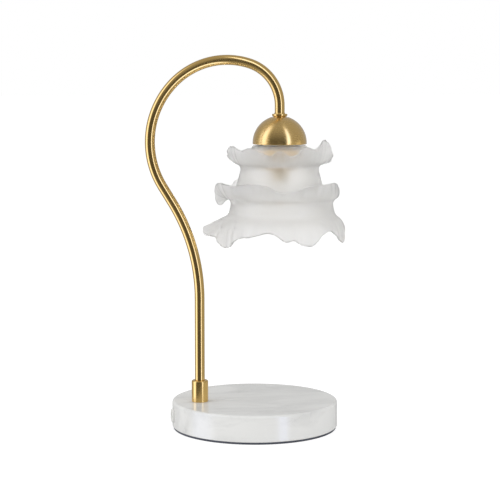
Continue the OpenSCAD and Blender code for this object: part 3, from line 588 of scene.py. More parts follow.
class LampOperator:
    """What every step of the build shares."""
    bl_options = {"REGISTER", "UNDO"}

    def finish_node(self, node, material):
        """Gives a node of the frame a finish."""
        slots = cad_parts[node].data.materials
        slots.clear()
        slots.append(material)


class LAMP_OT_foot(LampOperator, Operator):
    """Builds the marble disc, its pad and the inlet bushing"""
    bl_idname = "lamp.foot"
    bl_label = "Foot"

    def execute(self, context):
        sizes, colours = context.scene.lamp_foot, context.scene.lamp_colours
        low, high, edge = lowest("marble_base"), highest("marble_base"), radius_of("marble_base")
        slab = shape(turned([
            (0, low), (edge, low, sizes.bottom_edge), (edge, high, sizes.top_edge), (0, high)],
            0, steps=192), "marble_disc", weighted=False)
        cut(slab, self.cutters(sizes, low, edge))
        put(slab, "root", "marble", marble_finish(colours), "marble_base")

        pad_edge = radius_of("base_pad")
        pad_low, pad_high = lowest("base_pad"), highest("base_pad")
        pad = shape(turned([
            (0, pad_low), (pad_edge, pad_low, 0.4 * MM), (pad_edge, pad_high, 0.2 * MM), (0, pad_high)],
            0, steps=160), "foam_pad")
        put(pad, "root", "foot_pad", moulded_finish("Foam pad", colours.pad, 0.75, 1500, 0.0002), "base_pad")

        bushing = shape(self.bushing(sizes), "inlet_bushing")
        put(bushing, "root", "inlet_plastic",
            moulded_finish("Bushing plastic", colours.bushing, 0.35, 3000), "cord_bushing")
        return {"FINISHED"}

    def cutters(self, sizes, low, edge):
        """The pocket, the stem hole and the stepped inlet hole."""
        pocket = bmesh.new()
        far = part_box("terminal_block")[1].x + sizes.pocket_spare
        near, half = STEM_X, sizes.pocket_width / 2
        bmesh.ops.create_circle(
            pocket, cap_ends=True, segments=64, radius=half,
            matrix=Matrix.Translation((near, 0, low - SPARE)))
        stretch = [v for v in pocket.verts if v.co.x > near]
        bmesh.ops.translate(pocket, vec=(far - half - near, 0, 0), verts=stretch)
        roof = bmesh.ops.extrude_face_region(pocket, geom=pocket.faces[:])["geom"]
        bmesh.ops.translate(pocket, vec=(0, 0, sizes.pocket_depth + SPARE),
                            verts=[v for v in roof if isinstance(v, bmesh.types.BMVert)])
        bmesh.ops.recalc_face_normals(pocket, faces=pocket.faces[:])
        inlet = (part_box("cord_bushing")[0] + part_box("cord_bushing")[1]) / 2
        outside, seat = -edge - SPARE, -edge + sizes.seat_depth
        return [
            pocket,
            bar(sizes.hole_radius, (STEM_X, 0, low), (STEM_X, 0, highest("marble_base") + SPARE)),
            bar(sizes.inlet_radius, (outside, 0, inlet.z), (STEM_X, 0, inlet.z)),
            bar(sizes.inlet_seat, (outside, 0, inlet.z), (seat, 0, inlet.z)),
        ]

    def bushing(self, sizes):
        """A short sleeve with a round flange outside and a lip inside the marble."""
        low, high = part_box("cord_bushing")
        flange, lip = (high.y - low.y) / 2, sizes.bushing_shank + sizes.bushing_lip
        flange_back = -radius_of("marble_base") + sizes.seat_depth - low.x
        depth = high.x - low.x
        lip_start = depth - sizes.lip_length
        bm = turned([
            (sizes.lead_bore, 0, 0.6 * MM), (flange, 0, sizes.bushing_edge), (flange, flange_back),
            (sizes.bushing_shank, flange_back), (sizes.bushing_shank, lip_start),
            (lip, lip_start), (lip, depth, 0.3 * MM), (sizes.lead_bore, depth, 0.3 * MM)],
            0, steps=72)
        bmesh.ops.rotate(bm, cent=(0, 0, 0), matrix=Matrix.Rotation(math.pi / 2, 3, "Y"), verts=bm.verts[:])
        bmesh.ops.translate(bm, vec=(low.x, 0, (low.z + high.z) / 2), verts=bm.verts[:])
        return bm


class TubeRoute:
    """A ring of edges that is drawn along straights and bends in the XZ plane."""

    degrees_a_step = 1.5
    fewest_steps = 8

    def __init__(self, radius, x, z, segments=56):
        self.bm = bmesh.new()
        self.along = self.bm.verts.layers.float.new("along")
        bmesh.ops.create_circle(
            self.bm, cap_ends=False, segments=segments, radius=radius, matrix=Matrix.Translation((x, 0, z)))
        self.ring = self.bm.edges[:]
        self.place = Vector((x, 0, z))
        self.heading = 0.0
        self.travelled = 0.0

    def forward(self):
        """The direction in which the route goes."""
        return Vector((math.sin(self.heading), 0, math.cos(self.heading)))

    def go(self, distance):
        """Draws the ring straight on."""
        made = bmesh.ops.extrude_edge_only(self.bm, edges=self.ring)["geom"]
        verts = [v for v in made if isinstance(v, bmesh.types.BMVert)]
        bmesh.ops.translate(self.bm, vec=self.forward() * distance, verts=verts)
        self.ring = [e for e in made if isinstance(e, bmesh.types.BMEdge)]
        self.travelled += distance
        self.place = self.place + self.forward() * distance
        for vert in verts:
            vert[self.along] = self.travelled

    def turn(self, radius, bend, side):
        """Draws the ring round a bend, towards +X where side is 1 and towards -X where it is -1."""
        across = Vector((math.cos(self.heading), 0, -math.sin(self.heading)))
        centre = self.place + across * radius * side
        before = set(self.bm.verts)
        steps = max(self.fewest_steps, round(math.degrees(bend) / self.degrees_a_step))
        made = bmesh.ops.spin(
            self.bm, geom=self.ring, cent=centre, axis=(0, side, 0), dvec=(0, 0, 0), angle=bend,
            space=Matrix.Identity(4), steps=steps, use_merge=False, use_normal_flip=False,
            use_duplicate=False)
        forward = self.forward()
        for vert in self.bm.verts:
            if vert not in before:
                arm = vert.co - centre
                turned_by = math.atan2(arm.dot(forward), -arm.dot(across) * side)
                vert[self.along] = self.travelled + radius * turned_by
        self.ring = [e for e in made["geom_last"] if isinstance(e, bmesh.types.BMEdge)]
        self.travelled += radius * bend
        self.heading += side * bend
        self.place = centre - Vector((math.cos(self.heading), 0, -math.sin(self.heading))) * radius * side


class LAMP_OT_stem(LampOperator, Operator):
    """Builds the collar, the bent tube and the flange over the dome"""
    bl_idname = "lamp.stem"
    bl_label = "Stem"

    def execute(self, context):
        sizes, colours = context.scene.lamp_stem, context.scene.lamp_colours
        drawn = brass_finish(colours, "Drawn brass", 0.0, 0.0, 1400, 0.14, 0.000002)
        put(self.tube(sizes), "root", "satin_brass", drawn, "stem_tube")
        brass = brass_finish(colours, "Brushed brass", 0.0, 0.9, 1400, 0.2, 0.000002)
        put(self.collar(sizes), "root", "satin_brass", brass, "stem_collar")
        put(self.flange(sizes), "root", "satin_brass", brass, "stem_flange")
        return {"FINISHED"}

    def tube(self, sizes):
        """One tube from the collar to the flange, with its wall turned inwards."""
        foot = lowest("stem_tube")
        lean_start = lowest("stem_collar") + sizes.upright
        drop = math.pi + sizes.lean_angle - sizes.crook_angle - sizes.top_angle
        route = TubeRoute(sizes.tube_radius, STEM_X, foot)
        route.go(sizes.end_ring)
        route.go(lean_start - foot - sizes.end_ring)
        route.turn(sizes.lean_radius, sizes.lean_angle, -1)
        route.go(sizes.lean_length)
        route.turn(sizes.crook_radius, sizes.crook_angle, 1)
        route.turn(sizes.top_radius, sizes.top_angle, 1)
        route.turn(sizes.drop_radius, drop, 1)
        flange_top = highest("stem_flange") - sizes.flange_neck
        route.go(route.place.z - flange_top)
        route.go(sizes.end_ring)
        bmesh.ops.recalc_face_normals(route.bm, faces=route.bm.faces[:])
        tube = shape(route.bm, "bent_tube", weighted=False)
        wall = tube.modifiers.new("Wall", "SOLIDIFY")
        wall.thickness = sizes.tube_wall
        wall.offset = -1
        return tube

    def collar(self, sizes):
        """A turned collar, bored for the nipple below and for the tube above."""
        low, high, edge = lowest("stem_collar"), highest("stem_collar"), radius_of("stem_collar")
        seat = high - sizes.tube_seat
        hole = sizes.tube_radius + THREAD_ROOM
        tapped = sizes.stub_radius + THREAD_ROOM
        return shape(turned([
            (hole, seat), (tapped, seat - sizes.collar_step), (tapped, low), (edge, low, 0.4 * MM),
            (edge, high, sizes.collar_edge), (hole, high, 0.25 * MM)], STEM_X), "turned_collar")

    def flange(self, sizes):
        """The plate over the dome, its neck round the tube and its stub under it."""
        top = highest("stem_flange")
        edge = radius_of("stem_flange")
        plate_top = top - sizes.flange_neck
        plate_low = plate_top - sizes.flange_plate
        dome_top = plate_low - sizes.groove
        stub_low = lowest("stem_flange")
        neck, groove = sizes.tube_radius + 0.3 * MM, sizes.groove_radius
        stub, bore = sizes.stub_radius, sizes.stub_bore
        undercut, shoulder = edge - 0.7 * MM, plate_top - 1.1 * MM
        seat = plate_top - sizes.braze_depth
        return shape(turned([
            (bore, stub_low), (stub, stub_low), (stub, dome_top), (groove, dome_top),
            (groove, plate_low), (undercut, plate_low, 0.5 * MM),
            (edge, shoulder, 0.6 * MM), (edge - 0.2 * MM, plate_top, 0.5 * MM),
            (neck + 0.5 * MM, plate_top - 0.2 * MM, 0.3 * MM), (neck, top, 0.15 * MM),
            (sizes.tube_radius, top), (sizes.tube_radius, seat), (bore, seat)],
            HEAD_X), "brazed_flange")


class LAMP_OT_dome(LampOperator, Operator):
    """Builds the spun dome over the shade"""
    bl_idname = "lamp.dome"
    bl_label = "Dome"

    def execute(self, context):
        sizes, colours = context.scene.lamp_head, context.scene.lamp_colours
        low, high, edge = lowest("dome_cap"), highest("dome_cap"), radius_of("dome_cap")
        wall = sizes.dome_wall
        rise = math.sqrt(edge ** 2 - sizes.dome_flat ** 2)
        ball = high - rise
        inner_rise = high - wall - ball
        brim = math.degrees(math.asin(rise / edge))
        inner_brim = math.degrees(math.asin(inner_rise / (edge - wall)))
        outline = [(sizes.thread_hole, high - wall)]
        outline += reversed(arc(0, ball, edge - wall, 0, inner_brim, 28))
        outline += [(edge - wall, low, 0.25 * MM), (edge, low, 0.3 * MM)]
        outline += arc(0, ball, edge, 0, brim, 36)
        outline += [(sizes.thread_hole, high)]
        dome = shape(turned(outline, HEAD_X, steps=128), "spun_dome")
        brass = brass_finish(colours, "Spun brass", 0.6, 0.7, 3800, 0.27)
        put(dome, "root", "satin_brass", brass, "dome_cap")
        return {"FINISHED"}


class LAMP_OT_holder(LampOperator, Operator):
    """Builds the threaded sleeve, the shade ring and the gaskets, and finishes the socket"""
    bl_idname = "lamp.holder"
    bl_label = "Lampholder"

    def execute(self, context):
        sizes, colours = context.scene.lamp_head, context.scene.lamp_colours
        brass = brass_finish(colours, "Turned brass", 0.6, 0.5)
        put(self.sleeve(sizes), "root", "satin_brass", brass, "holder_sleeve")
        put(self.ring(sizes), "ring", "satin_brass", brass, "shade_ring")
        silicone = moulded_finish("Clear silicone", (0.74, 0.74, 0.72), 0.5, 1800)
        for node, name in (("upper_gasket", "gasket_above"), ("lower_gasket", "gasket_below")):
            low, high, edge = lowest(node), highest(node), radius_of(node)
            hole, round_off = sizes.ring_thread + sizes.gasket_gap, 0.4 * MM
            gasket = shape(turned([
                (hole, low, round_off), (edge, low, round_off), (edge, high, round_off),
                (hole, high, round_off)], HEAD_X), name)
            put(gasket, "shade", "clear_silicone", silicone, node)
        self.finish_node("lamp_socket", moulded_finish("Socket ceramic", colours.ceramic, 0.3, 900))
        return {"FINISHED"}

    def sleeve(self, sizes):
        """The sleeve's shoulder takes the glass, and its thread takes the ring."""
        low, high = lowest("holder_sleeve"), highest("holder_sleeve")
        shoulder = highest("upper_gasket")
        roof, root = high - sizes.sleeve_top, sizes.ring_thread - sizes.thread_depth
        outline = [(sizes.tapped_hole, roof), (sizes.sleeve_bore, roof),
                   (sizes.sleeve_bore, low, 0.3 * MM), (root, low, 0.3 * MM)]
        turns = int((shoulder - low) / sizes.ring_pitch)
        for i in range(turns):
            groove = low + (i + 0.5) * sizes.ring_pitch
            outline += [(sizes.ring_thread, groove, 0.15 * MM),
                        (root, groove + sizes.ring_pitch / 2, 0.15 * MM)]
        edge, upper = radius_of("holder_sleeve"), shoulder + sizes.shoulder
        outline += [(sizes.ring_thread, shoulder - 0.3 * MM), (sizes.ring_thread, shoulder),
                    (edge, shoulder, 0.3 * MM), (edge, upper, 0.3 * MM), (sizes.sleeve_body, upper),
                    (sizes.sleeve_body, high, 0.8 * MM), (sizes.tapped_hole, high)]
        return shape(turned(outline, HEAD_X), "threaded_sleeve")

    def ring(self, sizes):
        """A ring with finger notches all round."""
        low, high, edge = lowest("shade_ring"), highest("shade_ring"), radius_of("shade_ring")
        hole = sizes.ring_thread + sizes.ring_gap
        bm = turned([
            (hole, low, 0.4 * MM), (edge, low, 0.8 * MM), (edge, high, 0.8 * MM), (hole, high, 0.4 * MM)],
            0, steps=12 * sizes.notches)
        for vert in bm.verts:
            reach = math.hypot(vert.co.x, vert.co.y)
            if reach > edge - sizes.notch_band:
                wave = (0.5 + 0.5 * math.cos(math.atan2(vert.co.y, vert.co.x) * sizes.notches)) ** 3
                shrink = (reach - sizes.notch_depth * wave) / reach
                vert.co.x *= shrink
                vert.co.y *= shrink
        bmesh.ops.translate(bm, vec=(HEAD_X, 0, 0), verts=bm.verts[:])
        return shape(bm, "notched_ring")


# Rims of the shade's ruffles, as petals and dips. Each knot is an angle in degrees, 0 being
# the shade's front, then the reach beyond the root and the height over it, as shares of a petal
UPPER_RIM = [
    (-175, 1.1, 0.9), (-155, 0.9, 0.4), (-137, 1.2, 1.2), (-118, 0.8, 0.5), (-104, 1.15, 0.5),
    (-90, 1.3, 1.1), (-77, 1.2, 1.7), (-64, 1.05, 1.65), (-52, 1, 1.35), (-38, 1.05, 1.65),
    (-24, 1, 1.3), (-11, 0.95, 0.95), (-5, 1.05, 1.35), (3, 1.05, 1.35), (11, 0.95, 0.95),
    (19, 1, 1.05), (30, 1.05, 1.75), (45, 1, 1.5), (56, 0.95, 1.95), (68, 0.95, 2.35), (80, 1.2, 1.7),
    (91, 1.35, 0.85), (101, 1.3, 0.3), (114, 0.9, 0.2), (135, 1.15, 1.1), (158, 0.9, 0.5)]
MIDDLE_RIM = [
    (-165, 1.25, 1.3), (-148, 0.95, 1.2), (-134, 1.2, 1.55), (-122, 1.3, 0.4), (-112, 1.45, -0.65),
    (-101, 1.55, -0.4), (-90, 1.55, 0.6), (-78, 1.5, 1.45), (-66, 1.3, 1.55), (-50, 1.15, 1.4),
    (-32, 1.2, 1.6), (-14, 1.15, 1.5), (0, 1.1, 0.95), (15, 1.1, 1.1), (31, 1.05, 1.55),
    (48, 0.9, 1.55), (66, 0.6, 1.6), (80, 0.5, 1.35), (92, 0.5, 0.8), (106, 0.5, 0.1), (128, 0.8, 0.7),
    (150, 1.15, 1.3), (173, 1, 0.6)]
SKIRT_RIM = [
    (-176, 1.35, -1.5), (-156, 0.95, -2.3), (-136, 1.55, -1.5), (-119, 1.4, -1.95), (-105, 2, -1.3),
    (-94, 2.35, -1.2), (-84, 2.2, -1.65), (-75, 1.35, -1.8), (-69, 1.25, -2.3), (-61, 1.1, -2.65),
    (-52, 0.95, -2.45), (-43, 1, -1.75), (-27, 1.15, -1.45), (-8, 1.15, -1.05), (5, 1.15, -1.85),
    (12, 1.1, -1.7), (20, 1.15, -2.15), (30, 1.15, -2.2), (40, 1.05, -1.3), (48, 1.15, -0.95),
    (59, 1.05, -1.65), (67, 0.95, -2.15), (77, 0.85, -2.25), (86, 0.75, -1.65), (106, 1.05, -1.15),
    (125, 0.9, -1.35), (145, 1.4, -1.2), (164, 1, -2.25)]


# The fine pleats at the rims, as waves: their number round the shade, their weight, and how far
# each tier shifts them, in radians
PLEATS = [(31, 1, 1), (47, 0.7, 2), (19, 0.5, 0)]
# How much of the painted shade at the rims each tier takes, from the top
RIM_SHADE_SHARES = (1, 1, 0.6)


class Ruffle:
    """One tier of the shade: it leaves its root along a lead and curves to a wavy rim.

    The lead is never longer than the petal.
    """

    def __init__(self, root, lead, rim, petal):
        self.root = Vector(root)
        self.petal = petal
        self.lead = Vector(lead) * petal
        before = [(knot[0] - 360, *knot[1:]) for knot in rim[-2:]]
        after = [(knot[0] + 360, *knot[1:]) for knot in rim[:2]]
        self.knots = before + rim + after

    def rim_at(self, degrees):
        """Reach and height of the rim at an angle, on a smooth closed curve through the knots."""
        i = max(j for j in range(1, len(self.knots) - 2) if self.knots[j][0] <= degrees)
        last, start, end, following = self.knots[i - 1:i + 3]
        span = end[0] - start[0]
        t = (degrees - start[0]) / span
        found = []
        for part in (1, 2):
            leaving = (end[part] - last[part]) / (end[0] - last[0]) * span
            arriving = (following[part] - start[part]) / (following[0] - start[0]) * span
            found.append(
                (2 * t ** 3 - 3 * t ** 2 + 1) * start[part] + (t ** 3 - 2 * t ** 2 + t) * leaving
                + (3 * t ** 2 - 2 * t ** 3) * end[part] + (t ** 3 - t ** 2) * arriving)
        return Vector(found) * self.petal

    def point(self, rim, t, aside, ahead):
        """A point beside the ruffle's middle line, at a share t of the way to the rim."""
        lead = self.lead * min(1, rim.length / self.lead.length)
        line = 2 * t * (1 - t) * lead + t * t * rim
        forward = ((1 - 2 * t) * lead + t * rim).normalized()
        normal = Vector((-forward.y, forward.x))
        return self.root + line + normal * aside + forward * ahead


class LAMP_OT_shade(LampOperator, Operator):
    """Builds the frosted glass shade with its three ruffled tiers"""
    bl_idname = "lamp.shade"
    bl_label = "Shade"

    def execute(self, context):
        sizes, colours = context.scene.lamp_shade, context.scene.lamp_colours
        petal = sizes.petal
        tiers = [
            Ruffle((sizes.upper_radius, -sizes.upper_drop), (0.8, 0.05), UPPER_RIM, petal),
            Ruffle((sizes.middle_radius, -sizes.middle_drop), (0.85, 0.1), MIDDLE_RIM, petal),
            Ruffle((sizes.skirt_radius, -sizes.skirt_drop), (0.8, -0.35), SKIRT_RIM, petal)]
        bm = self.revolved(sizes, self.section(sizes, tiers))
        self.ruffle(bm, sizes, tiers)
        bmesh.ops.recalc_face_normals(bm, faces=bm.faces[:])
        bmesh.ops.rotate(bm, cent=(0, 0, 0), matrix=Matrix.Rotation(sizes.turned, 3, "Z"), verts=bm.verts[:])
        bmesh.ops.translate(bm, vec=(HEAD_X, 0, lowest("upper_gasket")), verts=bm.verts[:])
        shade = shape(bm, "ruffled_shade", sharp=80, weighted=False)
        smooth = shade.modifiers.new("Smooth", "SUBSURF")
        smooth.levels = smooth.render_levels = 1
        put(shade, "shade", "frosted_glass", glass_finish(colours), "glass_shade")
        return {"FINISHED"}

    def section(self, sizes, tiers):
        """The glass cut on one side of its axis, outside first, from the hole round to the hole.

        A point of the body is (radius, height, swell). A point of a ruffle is
        (tier, share of the way to the rim, side of the middle line, reach beyond it).
        """
        wall, half = sizes.wall, sizes.ruffle / 2
        shares = [0.08, 0.16, 0.26, 0.37, 0.49, 0.61, 0.73, 0.84, 0.93]

        def body(centre, dr, dz, swell=0.0):
            """A point of the body, in millimetres from one of its named places."""
            return ("body", centre[0] + dr * MM, centre[1] + dz * MM, swell)

        def tier(number):
            """Out along one side, round a bead a little thicker than the ruffle, and back."""
            bead = 1.12 * half
            return (
                [("ruffle", number, t, half, 0) for t in shares]
                + [("ruffle", number, 0.985, bead, 0), ("ruffle", number, 1, 0.75 * bead, 0.55 * half),
                   ("ruffle", number, 1, 0, 0.95 * half), ("ruffle", number, 1, -0.75 * bead, 0.55 * half),
                   ("ruffle", number, 0.985, -bead, 0)]
                + [("ruffle", number, t, -half, 0) for t in reversed(shares[1:])])

        upper, middle, skirt = (t.root for t in tiers)
        waist = (sizes.waist_radius, -sizes.waist_drop)
        neck, hole = (sizes.neck, 0), sizes.hole
        skin = -wall / MM
        points = [("body", hole, 0, 0), ("body", 0.75 * sizes.neck, 0, 0), body(neck, -3.2, 0),
                  body(neck, -1.1, -0.45), body(neck, 0, -2.3), body(neck, 1.6, -6.5)]
        points += [body(upper, -4.6, 5.6), body(upper, -2.3, 2.9)] + tier(0)
        points += [body(upper, 1.7, -1.9), body(upper, 1, -3.8), body(upper, 1.4, -6.5),
                   body(upper, 2.6, -11), body(waist, 0, 0), body(waist, 1.2, -4.5),
                   body(middle, -3, 7.5, 0.1), body(middle, -1.4, 4, 0.4)] + tier(1)
        points += [body(middle, 1.7, -1.9, 1), body(middle, 0.9, -3.8, 1), body(middle, 1.5, -7.5, 1),
                   body(skirt, -1.2, 6, 1), body(skirt, -0.9, 3.4, 1)] + tier(2)
        points += [body(skirt, skin - 0.6, 1.5, 1), body(skirt, skin - 1.2, 5, 1),
                   body(middle, skin + 1.5, -8, 1), body(middle, skin + 0.1, -2, 0.9),
                   body(middle, skin - 2, 5, 0.3), body(waist, skin + 1.1, -4), body(waist, skin, 0),
                   body(waist, skin - 1.8, 6), body(upper, skin + 1, -4), body(upper, skin, 0),
                   body(upper, skin - 5.2, 5.5), body(neck, skin + 1.6, -7.2),
                   body(neck, skin + 0.1, -3.9), body(neck, skin - 1.2, -2.8),
                   ("body", 0.75 * sizes.neck, -wall, 0), ("body", hole, -wall, 0)]
        return points

    def revolved(self, sizes, section):
        """The section spun round its axis. Layers keep which point each vertex comes from."""
        bm = bmesh.new()
        number = bm.verts.layers.int.new("section_point")
        bm.verts.layers.float.new("rim")
        verts = []
        for i, point in enumerate(section):
            vert = bm.verts.new((sizes.middle_radius, 0, -i * MM))
            vert[number] = i
            verts.append(vert)
        edges = [bm.edges.new((a, b)) for a, b in zip(verts, verts[1:] + verts[:1])]
        bmesh.ops.spin(
            bm, geom=verts + edges, cent=(0, 0, 0), axis=(0, 0, 1), dvec=(0, 0, 0), angle=TURN,
            space=Matrix.Identity(4), steps=sizes.steps, use_merge=True, use_normal_flip=False,
            use_duplicate=False)
        self.points = section
        self.number = number
        return bm

    def ruffle(self, bm, sizes, tiers):
        """Moves each vertex to its own radius and height at its angle."""
        rim_layer = bm.verts.layers.float["rim"]
        all_weights = sum(weight for _, weight, _ in PLEATS)
        rims = {}
        for vert in bm.verts:
            turn = math.atan2(vert.co.y, vert.co.x)
            degrees = round(math.degrees(turn), 4)
            if degrees not in rims:
                rims[degrees] = [t.rim_at(degrees) for t in tiers]
            swell = sizes.swell * max(0.0, math.sin(turn)) ** 2
            point = self.points[vert[self.number]]
            if point[0] == "body":
                radius, height = point[1] + point[3] * swell, point[2]
            else:
                which, t, aside, ahead = point[1:]
                # The rim layer sets the smoother rims and how much painted shade a ruffle takes
                vert[rim_layer] = t * RIM_SHADE_SHARES[which]
                waves = (w * math.sin(count * turn + shift * which) for count, w, shift in PLEATS)
                aside += sizes.ripple * t * t * sum(waves) / all_weights
                place = tiers[which].point(rims[degrees][which], t, aside, ahead)
                radius, height = place.x + (swell if which > 0 else 0.0), place.y
            vert.co = Vector((radius * math.cos(turn), radius * math.sin(turn), height))


class LAMP_OT_bulb(LampOperator, Operator):
    """Builds the bulb's glass, and finishes its ceramic base, its pins and its light stick"""
    bl_idname = "lamp.bulb"
    bl_label = "Bulb"

    def execute(self, context):
        sizes, colours = context.scene.lamp_head, context.scene.lamp_colours
        low, high, edge = lowest("bulb_envelope"), highest("bulb_envelope"), radius_of("bulb_envelope")
        inner = edge - sizes.bulb_wall
        outline = arc(0, low + edge, edge, -90, 0, 20) + [(edge, high, 0.3 * MM), (inner, high, 0.3 * MM)]
        outline += arc(0, low + edge, inner, 0, -90, 16)
        envelope = shape(turned(outline, HEAD_X), "bulb_glass", weighted=False)
        put(envelope, "bulb", "bulb_glass", self.warm_glass(colours), "bulb_envelope")
        ceramic = moulded_finish("Bulb ceramic", colours.ceramic, 0.3, 900)
        self.finish_node("bulb_base", ceramic)
        self.finish_node("bulb_pins", moulded_finish(
            "Pin steel", (0.62, 0.62, 0.64), 0.25, 1800, constants={"Metallic": 1.0}))
        self.finish_node("bulb_light_stick", moulded_finish("Light stick", (0.83, 0.62, 0.18), 0.5, 1500))
        return {"FINISHED"}

    def warm_glass(self, colours):
        """Thin warm glass, with a faint film."""
        material, tree, surface = new_material("Bulb glass", {
            "IOR": 1.45, "Transmission Weight": 0.8, "Metallic": 0.0, "Specular IOR Level": 0.5})
        film = smudges(tree, 150)
        wire(tree, surface, mix(tree, film, rgba(colours.bulb), rgba(colours.bulb_film)),
             spread(tree, film, 0, 1, 0.12, 0.22), grain(tree, 1200), 0.00002, 0.1)
        return material


class LAMP_OT_inner_parts(LampOperator, Operator):
    """Finishes the fasteners, the wiring and the terminal block inside the lamp"""
    bl_idname = "lamp.inner_parts"
    bl_label = "Inner parts"

    def execute(self, context):
        metal = {"Metallic": 1.0}
        finishes = {
            moulded_finish("Zinc steel", (0.60, 0.61, 0.63), 0.32, 1600, constants=metal): (
                "base_washer", "base_lock_washer", "dome_lock_washer", "holder_bracket",
                "terminal_screws", "socket_screws"),
            moulded_finish("Nut brass", (0.66, 0.50, 0.24), 0.3, 1600, constants=metal): (
                "base_nut", "dome_nut", "holder_nut", "base_nipple", "terminal_barrels",
                "socket_contacts"),
            moulded_finish("Black nylon", (0.03, 0.03, 0.03), 0.5): ("nipple_bush",),
            moulded_finish("White nylon", (0.78, 0.78, 0.74), 0.45): ("terminal_block",),
            moulded_finish("Foam tape", (0.3, 0.3, 0.3), 0.8, 1200, 0.0002): ("terminal_tape",),
            moulded_finish("Glass sleeving", (0.8, 0.8, 0.77), 0.7, 1400, 0.0001): ("lead_sleeving",),
            moulded_finish("Brown insulation", (0.12, 0.045, 0.02), 0.35): ("live_core",),
            moulded_finish("Blue insulation", (0.02, 0.09, 0.35), 0.35): ("neutral_core",),
        }
        for material, nodes in finishes.items():
            for node in nodes:
                self.finish_node(node, material)
        return {"FINISHED"}


# ---- Stage ----

def beside_camera(studio, degrees, distance, height):
    """A place round the lamp, at an angle to the right of the camera's direction."""
    place = Vector(studio.camera_place)
    turn = math.atan2(place.y, place.x) + math.radians(degrees)
    return Vector((distance * math.cos(turn), distance * math.sin(turn), height))


# Half the floor's width, and its greys: as it lights the lamp, as it is seen, and its glow
# where it is seen
FLOOR_REACH = 30
FLOOR_UNSEEN, FLOOR_SEEN, FLOOR_GLOW = 0.93, 0.36, 0.76
# The soft lights: degrees to the right of the camera, distance, height, panel width and height
KEY_PANEL = (-68, 1.8, 1.0, 1.2, 1.4)
FILL_PANEL = (38, 1.9, 0.9, 0.5, 1.4)
TOP_PANEL = (0, 0, 2.2, 1.8, 1.8)
LIGHT_AIM = Vector((0, 0, 0.15))
# The tent of reflectors: its radius, its even tone, the tint of its bright strips, and its levels
# round the lamp as pairs of degrees to the right of the camera and brightness
TENT_RADIUS = 4
TENT_TONE = 0.46
TENT_TINT = (0.48, 0.58, 1.0)
TENT_LEVELS = [
    (-180, 0.46), (-108, 0.46), (-98, 0.8), (-90, 2.5), (-66, 2.5), (-54, 0.5), (-44, 0.12),
    (18, 0.11), (30, 0.15), (35, 3.6), (44, 3.6), (49, 0.46), (180, 0.46)]
# Where the strips and the dark gap fade into the even tone, as heights in shares of the radius
STRIP_FADE = (0.8, 0.98)
GAP_FADE = (0.25, 0.95)


